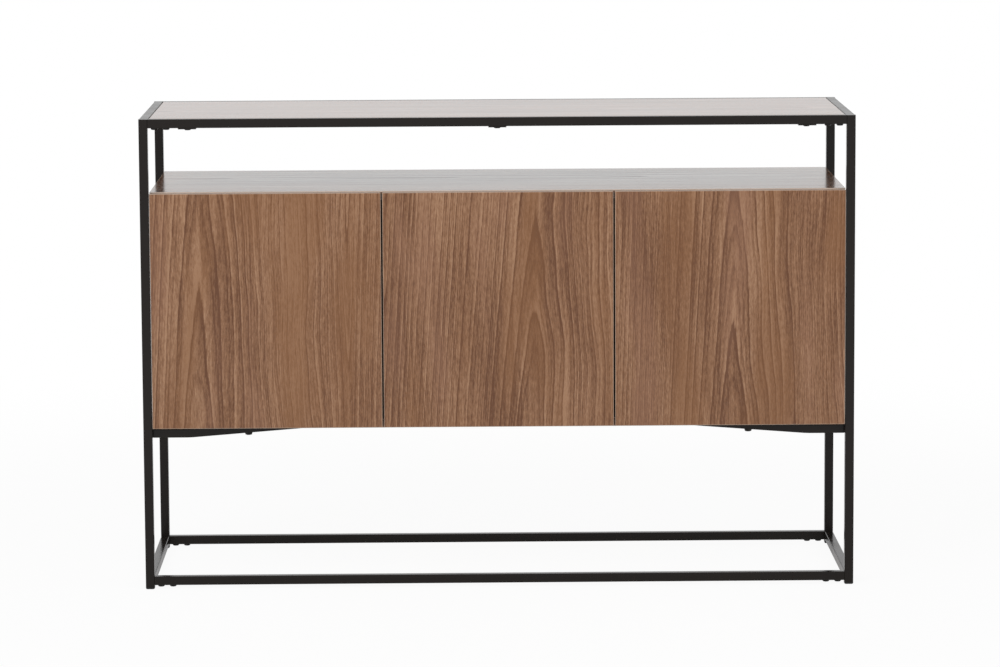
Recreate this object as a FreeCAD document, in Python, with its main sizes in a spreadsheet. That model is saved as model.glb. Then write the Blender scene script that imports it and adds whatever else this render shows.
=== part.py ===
"""Sideboard: a square-tube frame with a top panel, carrying a hung cabinet with three doors.

Millimetres. +Z is up, +X is right, the doors face -Y, and the origin is on the floor under the
middle. Every driving size is a cell of the sheet called Sizes, and the pieces are bound to it.
"""
import FreeCAD, Part
import math
import os
import re
import Sketcher

Vector = FreeCAD.Vector
Rotation = FreeCAD.Rotation
UP = Vector(0, 0, 1)

# Driving sizes
SIZES = {
    "overall_width": 1200,
    "overall_depth": 400,
    "overall_height": 798,
    # Square tube of the frame
    "tube": 15,
    "tube_wall": 1.2,
    "tube_corner": 1.5,
    "rail_lift": 7,
    # Foot caps
    "foot_lift": 3,
    "foot_round": 1.2,
    "foot_plug": 12,
    "plug_gap": 0.1,
    # Stubs inside the long rails and their screws
    "stub_length": 60,
    "stub_wall": 2,
    "stub_gap": 0.1,
    "rail_screw_inset": 11,
    "rail_screw_pitch": 20,
    "rail_screw_length": 7,
    "screw_radius": 3,
    "screw_head_radius": 5.75,
    "screw_head_height": 3,
    "screw_hole_gap": 0.2,
    "thread_gap": 0.05,
    # Top panel and the tabs that hold it
    "panel": 15,
    "panel_end_gap": 1.5,
    "panel_side_gap": 0.5,
    "panel_round": 0.8,
    "tab_width": 30,
    "tab_depth": 34,
    "tab_sheet": 2,
    "tab_setback": 1,
    "tab_end": 81,
    "tab_screw_inset": 22,
    "tab_screw_radius": 2,
    "tab_screw_bite": 10,
    # Bent tubes that carry the cabinet
    "wing_straight": 62,
    "wing_reach": 256,
    "wing_inner_half": 75,
    "wing_bend": 30,
    "wing_screw_bite": 11,
    "washer_radius": 6.5,
    "washer_sheet": 1.6,
    "hex_radius": 5.8,
    "hex_height": 4.6,
    # Cabinet boards
    "cabinet_drop": 109,
    "cabinet_height": 402,
    "board": 15,
    "board_round": 0.5,
    "cabinet_leg_gap": 0.5,
    "back_sheet": 3,
    "back_inset": 8,
    "groove_depth": 6,
    "groove_gap": 0.2,
    "back_end_gap": 1,
    # Shelves and their pins
    "shelf_setback": 20,
    "shelf_end_gap": 1,
    "shelf_back_gap": 1,
    "pin_radius": 2.5,
    "pin_sunk": 6.8,
    "pin_collar": 0.9,
    "pin_collar_radius": 4,
    "pin_reach": 7,
    "pin_inset": 40,
    # Fittings that join the boards
    "cam_radius": 7.5,
    "cam_depth": 12.5,
    "cam_back": 34,
    "cam_gap": 0.1,
    "bolt_radius": 3.4,
    "bolt_thread_radius": 2.5,
    "bolt_bite": 11,
    "fitting_front": 50,
    "fitting_rear": 60,
    # Doors
    "door": 16,
    "door_gap": 3,
    "door_leg_gap": 1,
    "door_top_margin": 1.5,
    "door_foot_margin": 3,
    "door_back_gap": 2,
    "door_round": 0.8,
    # Concealed hinges, measured from the door's hinge edge (in) and its front (back)
    "hinge_inset": 85,
    "nose_in": 19,
    "nose_back": 16.3,
    "nose_radius": 2.2,
    "cup_in": 22,
    "cup_radius": 17.4,
    "cup_wall": 0.55,
    "cup_floor": 1,
    "cup_depth": 11.1,
    "cup_bore_gap": 0.1,
    "cup_flange": 1,
    "cup_flange_radius": 19.5,
    "cup_ear_half": 29,
    "cup_ear_width": 20,
    "cup_screw_half": 24,
    "cup_screw_in": 27,
    "cup_screw_bite": 8,
    "wood_screw_radius": 1.7,
    "wood_screw_head": 3.4,
    "wood_screw_head_height": 1.8,
    "link_reach": 19.3,
    "link_bulge": 9,
    "link_sheet": 2,
    "link_half_width": 4,
    "link_eye_radius": 2,
    "link_pin_radius": 1,
    "ear_gap": 0.3,
    "arm_sheet": 1.2,
    "arm_top": 20.6,
    "arm_web": 1.4,
    "arm_cheek": 3.4,
    "arm_web_start": 24.5,
    "arm_end": 80,
    "plate_sheet": 2,
    "plate_half_height": 24,
    "plate_back": 37,
    "plate_width": 18,
    "saddle_length": 26,
    "saddle_gap": 0.15,
    "plate_screw_half": 16,
    "plate_screw_bite": 10,
    # Push latches and the strike plates they meet
    "latch_inset": 45,
    "latch_width": 18,
    "latch_length": 60,
    "latch_height": 14,
    "latch_setback": 4,
    "latch_round": 1,
    "plunger_radius": 4,
    "plunger_gap": 0.05,
    "plunger_length": 26,
    "plunger_bore": 32,
    "strike": 20,
    "strike_sheet": 1,
    "strike_gap": 0.3,
    "overrun": 5,
}

# Sizes that follow from others: the cabinet hangs below the top panel, the tabs stay near the ends
FOLLOWING = {
    "cabinet_lift": "overall_height - panel - cabinet_drop - cabinet_height",
    "tab_offset": "overall_width / 2 - tab_end",
}

# An angle in degrees, and shares of the sizes that they follow
LINK_ANGLE = -27.4
WING_SCREW_SHARE = 0.5
DOME_RIM_SHARE = 0.33
DOME_FLAT_SHARE = 0.5
DOME_BEND_SHARES = (0.85, 0.8)

doc = FreeCAD.newDocument("Sideboard")
sheet = doc.addObject("Spreadsheet::Sheet", "Sizes")
following = {alias: f"={text}" for alias, text in FOLLOWING.items()}
for row, (alias, content) in enumerate({**SIZES, **following}.items(), start=1):
    sheet.set(f"A{row}", alias)
    sheet.set(f"B{row}", str(content))
    sheet.setAlias(f"B{row}", alias)
doc.recompute()

nodes = {}
names = sorted([*SIZES, *FOLLOWING], key=len, reverse=True)
word = re.compile(r"\b(" + "|".join(names) + r")\b")


def bind(text):
    """Turns size names into references to the sheet's cells."""
    return word.sub(r"Sizes.\1", text)


def value(text):
    """Works out an expression of size names as a plain number."""
    return float(sheet.evalExpression(bind(text)))


def place(thing, corner, turn=None):
    """Binds an object's position to three expressions, with a fixed turn."""
    if turn is not None:
        thing.Placement = FreeCAD.Placement(Vector(0, 0, 0), turn)
    for axis, text in zip("xyz", corner):
        thing.setExpression(f".Placement.Base.{axis}", bind(text))


def node(label, thing):
    """Names an object as one of the part's pieces."""
    thing.Label = label
    nodes[label] = thing
    return thing


def box(corner, size):
    """A block from its low corner and its three sizes."""
    solid = doc.addObject("Part::Box", "Block")
    for name, text in zip(("Length", "Width", "Height"), size):
        solid.setExpression(name, bind(text))
    place(solid, corner)
    return solid


def rounded(solid, radius):
    """Rounds every edge of a block."""
    doc.recompute()
    fillet = doc.addObject("Part::Fillet", "Rounded")
    fillet.Base = solid
    size = value(radius)
    fillet.Edges = [(i + 1, size, size) for i in range(len(solid.Shape.Edges))]
    return fillet


def feature(shape):
    """An object that holds a ready shape, for cutting tools and grouped hardware."""
    thing = doc.addObject("Part::Feature", "Form")
    thing.Shape = shape
    return thing


def cut(base, shapes):
    """Cuts ready shapes out of an object."""
    if not shapes:
        return base
    result = doc.addObject("Part::Cut", "Drilled")
    result.Base = base
    result.Tool = feature(Part.makeCompound(shapes))
    return result


def group(label, shapes):
    """One node of separate identical solids."""
    return node(label, feature(Part.makeCompound(shapes)))


def rod(radius, start, direction, length):
    """A plain cylinder, sizes as numbers."""
    return Part.makeCylinder(radius, length, start, direction)


def block(low, high):
    """A block between two corners, sizes as numbers."""
    size = high - low
    return Part.makeBox(size.x, size.y, size.z, low)


def turned(points):
    """Revolves a half outline of (radius, height) points about the Z axis."""
    corners = [Vector(radius, 0, height) for radius, height in points]
    outline = Part.makePolygon(corners + corners[:1])
    return Part.Face(outline).revolve(Vector(0, 0, 0), UP, 360)


def domed(radius, height):
    """A low domed screw head that hangs below the XY plane."""
    rim = -height * DOME_RIM_SHARE
    flat = radius * DOME_FLAT_SHARE
    outline = [(0, 0), (radius, 0), (radius, rim), (flat, -height), (0, -height)]
    corners = [Vector(across, 0, up) for across, up in outline]
    edges = [Part.LineSegment(corners[0], corners[1]).toShape()]
    edges.append(Part.LineSegment(corners[1], corners[2]).toShape())
    bend = Vector(radius * DOME_BEND_SHARES[0], 0, -height * DOME_BEND_SHARES[1])
    edges.append(Part.Arc(corners[2], bend, corners[3]).toShape())
    edges.append(Part.LineSegment(corners[3], corners[4]).toShape())
    edges.append(Part.LineSegment(corners[4], corners[0]).toShape())
    return Part.Face(Part.Wire(edges)).revolve(Vector(0, 0, 0), UP, 360)


def put(shape, point, direction=UP):
    """Moves a copy of a shape made along +Z to a point and a direction."""
    copy = shape.copy()
    copy.Placement = FreeCAD.Placement(point, Rotation(UP, direction))
    return copy


def centred_rectangle(body, plane_role, width, height):
    """A sketch of a rectangle about the body's origin, on one of its origin planes."""
    sketch = body.newObject("Sketcher::SketchObject", "Section")
    planes = [item for item in body.Origin.OriginFeatures if item.Role == plane_role]
    sketch.AttachmentSupport = [(planes[0], "")]
    sketch.MapMode = "FlatFace"
    x = value(width) / 2
    y = value(height) / 2
    corners = [Vector(-x, -y, 0), Vector(x, -y, 0), Vector(x, y, 0), Vector(-x, y, 0)]
    for start in range(4):
        sketch.addGeometry(Part.LineSegment(corners[start], corners[(start + 1) % 4]), False)
    for start in range(4):
        sketch.addConstraint(Sketcher.Constraint("Coincident", start, 2, (start + 1) % 4, 1))
    for line, kind in enumerate(("Horizontal", "Vertical", "Horizontal", "Vertical")):
        sketch.addConstraint(Sketcher.Constraint(kind, line))
    sketch.addConstraint(Sketcher.Constraint("Symmetric", 0, 1, 1, 2, -1, 1))
    sketch.addConstraint(Sketcher.Constraint("DistanceX", 0, 1, 0, 2, 2 * x))
    sketch.addConstraint(Sketcher.Constraint("DistanceY", 1, 1, 1, 2, 2 * y))
    count = sketch.ConstraintCount
    sketch.setExpression(f"Constraints[{count - 2}]", bind(width))
    sketch.setExpression(f"Constraints[{count - 1}]", bind(height))
    return sketch


ALONG = {
    "x": Rotation(Vector(0, 1, 0), 90),
    "y": Rotation(Vector(1, 0, 0), -90),
    "z": Rotation(),
}


def tube(start, axis, length, bore=None):
    """A square tube from its centre line's start, open at both ends unless bore stops short."""
    body = doc.addObject("PartDesign::Body", "Tube")
    pad = body.newObject("PartDesign::Pad", "Bar")
    pad.Profile = centred_rectangle(body, "XY_Plane", "tube", "tube")
    pad.setExpression("Length", bind(length))
    doc.recompute()
    fillet = body.newObject("PartDesign::Fillet", "Corners")
    long_edges = []
    for index, edge in enumerate(pad.Shape.Edges, start=1):
        if abs(edge.tangentAt(edge.FirstParameter).z) > 0.5:
            long_edges.append(f"Edge{index}")
    fillet.Base = (pad, long_edges)
    fillet.setExpression("Radius", bind("tube_corner"))
    doc.recompute()
    pocket = body.newObject("PartDesign::Pocket", "Bore")
    inner = "tube - 2 * tube_wall"
    pocket.Profile = centred_rectangle(body, "XY_Plane", inner, inner)
    pocket.Reversed = True
    pocket.setExpression("Length", bind(bore or length))
    doc.recompute()
    if pocket.Shape.Volume > fillet.Shape.Volume * 0.6:
        raise RuntimeError("The bore of a tube cuts too little")
    place(body, start, ALONG[axis])
    return body


# Frame
END_X = "overall_width / 2 - tube / 2"
END_Y = "overall_depth / 2 - tube / 2"
LONG_RAIL = "overall_width - 2 * tube"
DEPTH_RAIL = "overall_depth - 2 * tube"
RAIL_LEVELS = {"top": "overall_height - tube / 2", "bottom": "rail_lift + tube / 2"}
SIDES = {"left": -1, "right": 1}
ENDS = {"front": -1, "rear": 1}


def signed(sign, text):
    """Puts a minus sign before an expression for the left or front side."""
    return f"-({text})" if sign < 0 else f"{text}"


rail_screw_places = []
for level, height in RAIL_LEVELS.items():
    for end in ENDS.values():
        for side in SIDES.values():
            for turn in range(2):
                inset = f"tube + rail_screw_inset + {turn} * rail_screw_pitch"
                across = value(f"overall_width / 2 - ({inset})") * side
                depth = value(END_Y) * end
                rail_screw_places.append(Vector(across, depth, value(f"{height} - tube / 2")))

for end_name, end in ENDS.items():
    for side_name, side in SIDES.items():
        foot = (signed(side, END_X), signed(end, END_Y), "foot_lift")
        leg_length = "overall_height - foot_lift"
        leg = tube(foot, "z", leg_length, f"{leg_length} - tube_wall")
        node(f"leg_{end_name}_{side_name}", leg)
    for level, height in RAIL_LEVELS.items():
        start = (f"-({LONG_RAIL}) / 2", signed(end, END_Y), height)
        rail = tube(start, "x", LONG_RAIL)
        depth = value(END_Y) * end
        low = value(f"{height} - tube / 2")
        hole = value("screw_radius + screw_hole_gap")
        holes = []
        for point in rail_screw_places:
            if point.y == depth and point.z == low:
                below = point - UP * value("overrun")
                holes.append(rod(hole, below, UP, value("overrun + tube_wall * 2")))
        node(f"{level}_rail_{end_name}", cut(rail, holes))

for side_name, side in SIDES.items():
    for level, height in RAIL_LEVELS.items():
        start = (signed(side, END_X), f"-({DEPTH_RAIL}) / 2", height)
        node(f"{level}_rail_{side_name}", tube(start, "y", DEPTH_RAIL))
    start = (signed(side, END_X), f"-({DEPTH_RAIL}) / 2", "cabinet_lift - tube / 2")
    node(f"middle_rail_{side_name}", tube(start, "y", DEPTH_RAIL))


def stub(side, end, height):
    """A short hollow bar welded to a leg, inside the end of a long rail."""
    half = value("tube / 2 - tube_wall - stub_gap")
    hollow = half - value("stub_wall")
    root = value("overall_width / 2 - tube") * side
    tip = root - value("stub_length") * side
    y = value(END_Y) * end
    z = value(height)
    low_x = min(root, tip)
    high_x = max(root, tip)
    bar = block(Vector(low_x, y - half, z - half), Vector(high_x, y + half, z + half))
    low = Vector(low_x - value("overrun"), y - hollow, z - hollow)
    bar = bar.cut(block(low, Vector(high_x + value("overrun"), y + hollow, z + hollow)))
    for point in rail_screw_places:
        if low_x < point.x < high_x and point.y == y and point.z < z < point.z + value("tube"):
            bar = bar.cut(rod(value("screw_radius + thread_gap"), point, UP, z - point.z))
    return bar


stubs = []
for height in RAIL_LEVELS.values():
    for end in ENDS.values():
        for side in SIDES.values():
            stubs.append(stub(side, end, height))
group("rail_stubs", stubs)

pan_head = domed(value("screw_head_radius"), value("screw_head_height"))
rail_screw = pan_head.fuse(rod(value("screw_radius"), Vector(0, 0, 0), UP, value("rail_screw_length")))
group("rail_screws", [put(rail_screw, point) for point in rail_screw_places])


def foot_cap(x, y):
    """A rounded plastic cap with a plug inside the leg's lower end."""
    half = value("tube / 2")
    lift = value("foot_lift")
    pad = block(Vector(-half, -half, 0), Vector(half, half, lift))
    round_edges = [edge for edge in pad.Edges if edge.BoundBox.ZMin < lift / 2]
    pad = pad.makeFillet(value("foot_round"), round_edges)
    plug_half = half - value("tube_wall + plug_gap")
    plug_top = lift + value("foot_plug")
    plug = block(Vector(-plug_half, -plug_half, lift / 2), Vector(plug_half, plug_half, plug_top))
    cap = pad.fuse(plug)
    cap.translate(Vector(x, y, 0))
    return cap


foot_caps = []
for end in ENDS.values():
    for side in SIDES.values():
        foot_caps.append(foot_cap(value(END_X) * side, value(END_Y) * end))
group("foot_caps", foot_caps)

# Top panel on its tabs
tab_top = value("overall_height - panel")
tab_places = []
for end in ENDS.values():
    for column in (-1, 0, 1):
        depth = value("overall_depth / 2 - tab_screw_inset") * end
        tab_places.append((column, end, Vector(value("tab_offset") * column, depth, tab_top)))


def tab(end, point):
    """A flat plate welded under a long rail, with a hole for the panel's screw."""
    outer = value("overall_depth / 2 - tab_setback") * end
    inner = outer - value("tab_depth") * end
    half = value("tab_width / 2")
    low = Vector(point.x - half, min(outer, inner), point.z - value("tab_sheet"))
    high = Vector(point.x + half, max(outer, inner), point.z)
    hole = rod(value("tab_screw_radius + screw_hole_gap"), Vector(point.x, point.y, low.z), UP,
               value("tab_sheet"))
    return block(low, high).cut(hole)


group("panel_tabs", [tab(end, point) for column, end, point in tab_places])
tab_screw_length = value("tab_sheet + tab_screw_bite")
tab_screw = pan_head.fuse(rod(value("tab_screw_radius"), Vector(0, 0, 0), UP, tab_screw_length))
tab_drop = UP * value("tab_sheet")
group("tab_screws", [put(tab_screw, point - tab_drop) for column, end, point in tab_places])

panel_length = f"{LONG_RAIL} - 2 * panel_end_gap"
panel_depth = f"{DEPTH_RAIL} - 2 * panel_side_gap"
panel_corner = (f"-({panel_length}) / 2", f"-({panel_depth}) / 2", "overall_height - panel")
panel_block = rounded(box(panel_corner, (panel_length, panel_depth, "panel")), "panel_round")
panel_holes = []
for column, end, point in tab_places:
    panel_holes.append(rod(value("tab_screw_radius + thread_gap"), point, UP,
                           value("tab_screw_bite + thread_gap")))
node("top_panel", cut(panel_block, panel_holes))


# Bent tubes under the cabinet
def rounded_path(points, radius):
    """A wire through the points, each inner corner rounded by an arc."""
    edges = []
    start = points[0]
    for before, corner, after in zip(points, points[1:], points[2:]):
        back = (before - corner).normalize()
        ahead = (after - corner).normalize()
        half_angle = back.getAngle(ahead) / 2
        run = radius / math.tan(half_angle)
        first = corner + back * run
        last = corner + ahead * run
        centre_way = (back + ahead).normalize()
        middle = corner + centre_way * (radius / math.sin(half_angle) - radius)
        edges.append(Part.LineSegment(start, first).toShape())
        edges.append(Part.Arc(first, middle, last).toShape())
        start = last
    edges.append(Part.LineSegment(start, points[-1]).toShape())
    return Part.Wire(edges)


def square_wire(half, radius):
    """A square in the YZ plane about the origin, its corners rounded when a radius is given."""
    corners = [Vector(0, -half, -half), Vector(0, half, -half), Vector(0, half, half),
               Vector(0, -half, half)]
    wire = Part.makePolygon(corners + corners[:1])
    if radius:
        prism = Part.Face(wire).extrude(Vector(half, 0, 0))
        long_edges = [edge for edge in prism.Edges if abs(edge.tangentAt(0).x) > 0.5]
        prism = prism.makeFillet(radius, long_edges)
        face = [item for item in prism.Faces if abs(item.CenterOfMass.x) < half / 100][0]
        wire = face.OuterWire
    return wire


WING_FRONT = "overall_depth / 2 - door - door_back_gap - tube / 2"
wing_screw_places = []


def wing(side):
    """A tube bent inwards from the middle rail, along the cabinet's underside and back."""
    root = value("overall_width / 2 - tube")
    z = value("cabinet_lift - tube / 2")
    front = -value(WING_FRONT)
    inner = value("wing_inner_half")
    bend_x = root - value("wing_straight")
    reach_x = root - value("wing_reach")
    half_route = [(root, front), (bend_x, front), (reach_x, -inner)]
    route = half_route + [(x, -y) for x, y in reversed(half_route)]
    points = [Vector(x * side, y, z) for x, y in route]
    path = rounded_path(points, value("wing_bend"))
    outer = square_wire(value("tube / 2"), value("tube_corner"))
    hollow = square_wire(value("tube / 2 - tube_wall"), 0)
    shapes = []
    for wire in (outer, hollow):
        wire.translate(points[0])
        shapes.append(path.makePipeShell([wire], True, False))
    solid = shapes[0].cut(shapes[1])
    for first, last in ((points[1], points[2]), (points[4], points[3])):
        middle = first + (last - first) * WING_SCREW_SHARE
        below = middle - UP * value("tube / 2")
        wing_screw_places.append(below)
        hole = rod(value("screw_radius + screw_hole_gap"), below, UP, value("tube"))
        solid = solid.cut(hole)
    return solid


for side_name, side in SIDES.items():
    node(f"wing_{side_name}", feature(wing(side)))

washer = rod(value("washer_radius"), -UP * value("washer_sheet"), UP, value("washer_sheet"))
hex_top = value("washer_sheet")
hexagon = []
for corner in range(6):
    angle = math.radians(60 * corner)
    radius = value("hex_radius")
    hexagon.append(Vector(radius * math.cos(angle), radius * math.sin(angle), -hex_top))
hexagon = Part.Face(Part.makePolygon(hexagon + hexagon[:1]))
hex_head = hexagon.extrude(-UP * value("hex_height"))
wing_screw_length = value("tube + wing_screw_bite")
wing_screw = washer.fuse(hex_head).fuse(
    rod(value("screw_radius"), Vector(0, 0, 0), UP, wing_screw_length)).removeSplitter()
group("wing_screws", [put(wing_screw, point) for point in wing_screw_places])

# Places that the cabinet's pieces share
FRONT = "-overall_depth / 2"
CARCASS_FRONT = f"({FRONT} + door + door_back_gap)"
CARCASS_DEPTH = "(overall_depth - door - door_back_gap)"
CABINET_TOP = "(cabinet_lift + cabinet_height)"
TOP_UNDER = f"({CABINET_TOP} - board)"
FLOOR_TOP = "(cabinet_lift + board)"
HALF_OUT = "(overall_width / 2 - tube - door_leg_gap)"
HALF_IN = f"({HALF_OUT} - board)"
DOOR_WIDTH = f"((2 * {HALF_OUT} - 2 * door_gap) / 3)"
DIVIDER_X = f"({DOOR_WIDTH} / 2 + door_gap / 2)"
BACK_FACE = "(overall_depth / 2 - back_inset - back_sheet)"
DOOR_LOW = "(cabinet_lift + door_foot_margin)"
DOOR_HEIGHT = "(cabinet_height - door_top_margin - door_foot_margin)"
COMPARTMENT_HEIGHT = f"({TOP_UNDER} - {FLOOR_TOP})"
SHELF_LOW = f"({FLOOR_TOP} + {COMPARTMENT_HEIGHT} / 2 - board / 2)"

drillings = {}


def drill(board, shape):
    """Keeps a cutting shape for the board that it belongs to."""
    drillings.setdefault(board, []).append(shape)


# Fittings: a bolt in one board that a cam in the other draws tight
cams = []
bolts = []


def fitting(cam_board, bolt_board, joint, towards, face):
    """One cam and bolt; joint is on the meeting plane, face points out of the cam's hole."""
    back = value("cam_back")
    gap = value("cam_gap")
    centre = joint - towards * back
    mouth = centre + face * value("board / 2")
    cam = rod(value("cam_radius"), mouth, -face, value("cam_depth"))
    slot_lead = value("bolt_radius / 2")
    slot = rod(value("bolt_radius + cam_gap"), centre - towards * slot_lead, towards, back + slot_lead)
    cams.append(cam.cut(slot))
    shank = rod(value("bolt_radius"), centre, towards, back)
    thread = rod(value("bolt_thread_radius"), centre, towards, back + value("bolt_bite"))
    bolts.append(shank.fuse(thread))
    overrun = value("overrun")
    pocket_depth = overrun + value("cam_depth") + gap
    drill(cam_board, rod(value("cam_radius") + gap, mouth + face * overrun, -face, pocket_depth))
    drill(cam_board, slot)
    thread_radius = value("bolt_thread_radius + thread_gap")
    drill(bolt_board, rod(thread_radius, joint, towards, value("bolt_bite + cam_gap")))


UPRIGHTS = {
    "cabinet_side_left": (value(f"-{HALF_OUT} + board / 2"), 1),
    "cabinet_side_right": (value(f"{HALF_OUT} - board / 2"), -1),
    "divider_left": (value(f"-{DIVIDER_X}"), -1),
    "divider_right": (value(DIVIDER_X), 1),
}
fitting_rows = (value(f"{CARCASS_FRONT} + fitting_front"), value("overall_depth / 2 - fitting_rear"))
for board, (x, inward) in UPRIGHTS.items():
    face = Vector(inward, 0, 0)
    for y in fitting_rows:
        fitting(board, "cabinet_top", Vector(x, y, value(TOP_UNDER)), UP, face)
        if board.startswith("divider"):
            fitting(board, "cabinet_bottom", Vector(x, y, value(FLOOR_TOP)), -UP, face)
        else:
            joint = Vector(x + inward * value("board / 2"), y, value("cabinet_lift + board / 2"))
            fitting("cabinet_bottom", board, joint, -face, -UP)
group("cam_discs", cams)
group("cam_bolts", bolts)

for point in wing_screw_places:
    top = point + UP * value("tube")
    depth = value("wing_screw_bite + thread_gap")
    drill("cabinet_bottom", rod(value("screw_radius + thread_gap"), top, UP, depth))

# Shelves on pins
COMPARTMENTS = {
    "left": (f"-{HALF_IN}", f"(-{DIVIDER_X} - board / 2)", "cabinet_side_left", "divider_left"),
    "centre": (f"(-{DIVIDER_X} + board / 2)", f"({DIVIDER_X} - board / 2)", "divider_left",
               "divider_right"),
    "right": (f"({DIVIDER_X} + board / 2)", HALF_IN, "divider_right", "cabinet_side_right"),
}
pin_profile = [(0, -value("pin_sunk")), (value("pin_radius"), -value("pin_sunk")),
               (value("pin_radius"), 0), (value("pin_collar_radius"), 0),
               (value("pin_collar_radius"), value("pin_collar")),
               (value("pin_radius"), value("pin_collar")),
               (value("pin_radius"), value("pin_reach")), (0, value("pin_reach"))]
pin = turned(pin_profile)
pins = []
for name, (low_x, high_x, low_board, high_board) in COMPARTMENTS.items():
    depth = f"({BACK_FACE} - {CARCASS_FRONT} - shelf_setback - shelf_back_gap)"
    corner = (f"{low_x} + shelf_end_gap", f"{CARCASS_FRONT} + shelf_setback", SHELF_LOW)
    size = (f"{high_x} - {low_x} - 2 * shelf_end_gap", depth, "board")
    node(f"shelf_{name}", rounded(box(corner, size), "board_round"))
    front_row = value(f"{CARCASS_FRONT} + shelf_setback + pin_inset")
    rear_row = value(f"{BACK_FACE} - shelf_back_gap - pin_inset")
    for y in (front_row, rear_row):
        for wall, board, inward in ((low_x, low_board, 1), (high_x, high_board, -1)):
            face = Vector(inward, 0, 0)
            seat = Vector(value(wall), y, value(f"{SHELF_LOW} - pin_collar_radius"))
            pins.append(put(pin, seat, face))
            depth_in = value("pin_sunk + thread_gap")
            drill(board, rod(value("pin_radius + thread_gap"), seat, -face, depth_in))
group("shelf_pins", pins)

# Concealed hinges, built in the door's own directions: in from its hinge edge, back from its front
DOORS = {
    "left": (f"-{HALF_OUT}", 1, "cabinet_side_left", "board"),
    "centre": (f"-{DOOR_WIDTH} / 2", 1, "divider_left", "(board / 2 - door_gap / 2)"),
    "right": (HALF_OUT, -1, "cabinet_side_right", "board"),
}
HINGE_LEVELS = (f"{DOOR_LOW} + hinge_inset", f"{DOOR_LOW} + {DOOR_HEIGHT} - hinge_inset")


def seated(shape, edge_x, sign, level):
    """Moves a hinge piece to its door's edge, mirrored for a door hung on its right."""
    moved = shape.copy()
    if sign < 0:
        moved = moved.mirror(Vector(0, 0, 0), Vector(1, 0, 0))
    moved.translate(Vector(edge_x, value(FRONT), level))
    return moved


def wood_screw(bite):
    """A small screw along +Z, its head below the XY plane."""
    head = domed(value("wood_screw_head"), value("wood_screw_head_height"))
    return head.fuse(rod(value("wood_screw_radius"), Vector(0, 0, 0), UP, bite))


def cup_shape():
    """The drawn cup in the door's bore, with its flange and two ears."""
    back = value("door")
    mouth = value("cup_radius - cup_wall")
    start = Vector(value("cup_in"), back - value("cup_depth"), 0)
    towards = Vector(0, 1, 0)
    wall = rod(value("cup_radius"), start, towards, value("cup_depth"))
    rim_start = Vector(value("cup_in"), back, 0)
    flange = rod(value("cup_flange_radius"), rim_start, towards, value("cup_flange"))
    half_ear = value("cup_ear_width / 2")
    ear_low = Vector(value("cup_screw_in") - half_ear, back, -value("cup_ear_half"))
    ear_high = Vector(value("cup_screw_in") + half_ear, back + value("cup_flange"),
                      value("cup_ear_half"))
    ears = block(ear_low, ear_high)
    upright = [edge for edge in ears.Edges if abs(edge.tangentAt(0).y) > 0.5]
    ears = ears.makeFillet(half_ear / 2, upright)
    shape = wall.fuse(flange).fuse(ears)
    hollow_start = start + towards * value("cup_floor")
    shape = shape.cut(rod(mouth, hollow_start, towards, value("cup_depth + cup_flange")))
    for half in (-1, 1):
        hole = Vector(value("cup_screw_in"), back, value("cup_screw_half") * half)
        radius = value("wood_screw_radius + thread_gap")
        shape = shape.cut(rod(radius, hole, towards, value("cup_flange")))
    return shape.removeSplitter()


def link_shape():
    """The hooked strap that swings round the door's back corner."""
    nose = Vector(value("nose_in"), value("nose_back"), 0)
    reach = value("link_reach")
    bulge = value("link_bulge")
    radius = (reach * reach / 4 + bulge * bulge) / (2 * bulge)
    centre = Vector(reach / 2, bulge - radius, 0)
    tip = Vector(reach, 0, 0)
    half = value("link_sheet / 2")
    edges = []
    inner = []
    outer = []
    for point in (Vector(0, 0, 0), centre + Vector(0, radius, 0), tip):
        way = (point - centre).normalize()
        inner.append(centre + way * (radius - half))
        outer.append(centre + way * (radius + half))
    edges.append(Part.Arc(inner[0], inner[1], inner[2]).toShape())
    edges.append(Part.LineSegment(inner[2], outer[2]).toShape())
    edges.append(Part.Arc(outer[2], outer[1], outer[0]).toShape())
    edges.append(Part.LineSegment(outer[0], inner[0]).toShape())
    width = value("link_half_width")
    strap = Part.Face(Part.Wire(edges)).extrude(UP * 2 * width)
    strap.translate(-UP * width)
    eye = rod(value("link_eye_radius"), -UP * width, UP, 2 * width)
    end = rod(half, tip - UP * width, UP, 2 * width)
    bore = rod(value("link_pin_radius + thread_gap"), -UP * width, UP, 2 * width)
    strap = strap.fuse(eye).fuse(end).cut(bore)
    strap.rotate(Vector(0, 0, 0), UP, LINK_ANGLE)
    strap.translate(nose)
    return strap


def arm_shape():
    """The channel on the mounting plate, its two ears holding the link's pin."""
    nose_x = value("nose_in")
    nose_y = value("nose_back")
    clear = value("link_half_width + ear_gap")
    outer = clear + value("arm_sheet")
    top = value("arm_top + arm_web")
    low = top - value("arm_web + arm_cheek")
    start = value("arm_web_start")
    shape = block(Vector(value("arm_top"), start, -outer), Vector(top, value("arm_end"), outer))
    for sign in (-1, 1):
        z_low = min(clear * sign, outer * sign)
        sheet_up = UP * value("arm_sheet")
        cheek = block(Vector(low, start, z_low), Vector(top, value("arm_end"), z_low) + sheet_up)
        radius = value("nose_radius")
        eye = rod(radius, Vector(nose_x, nose_y, z_low), UP, value("arm_sheet"))
        neck_points = [Vector(nose_x - radius, nose_y, z_low), Vector(nose_x + radius, nose_y, z_low),
                       Vector(top, start, z_low), Vector(low, start, z_low)]
        neck = Part.Face(Part.makePolygon(neck_points + neck_points[:1])).extrude(sheet_up)
        shape = shape.fuse(cheek).fuse(neck).fuse(eye)
    pin_start = Vector(nose_x, nose_y, -outer)
    shape = shape.fuse(rod(value("link_pin_radius"), pin_start, UP, 2 * outer))
    return shape.removeSplitter()


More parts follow.
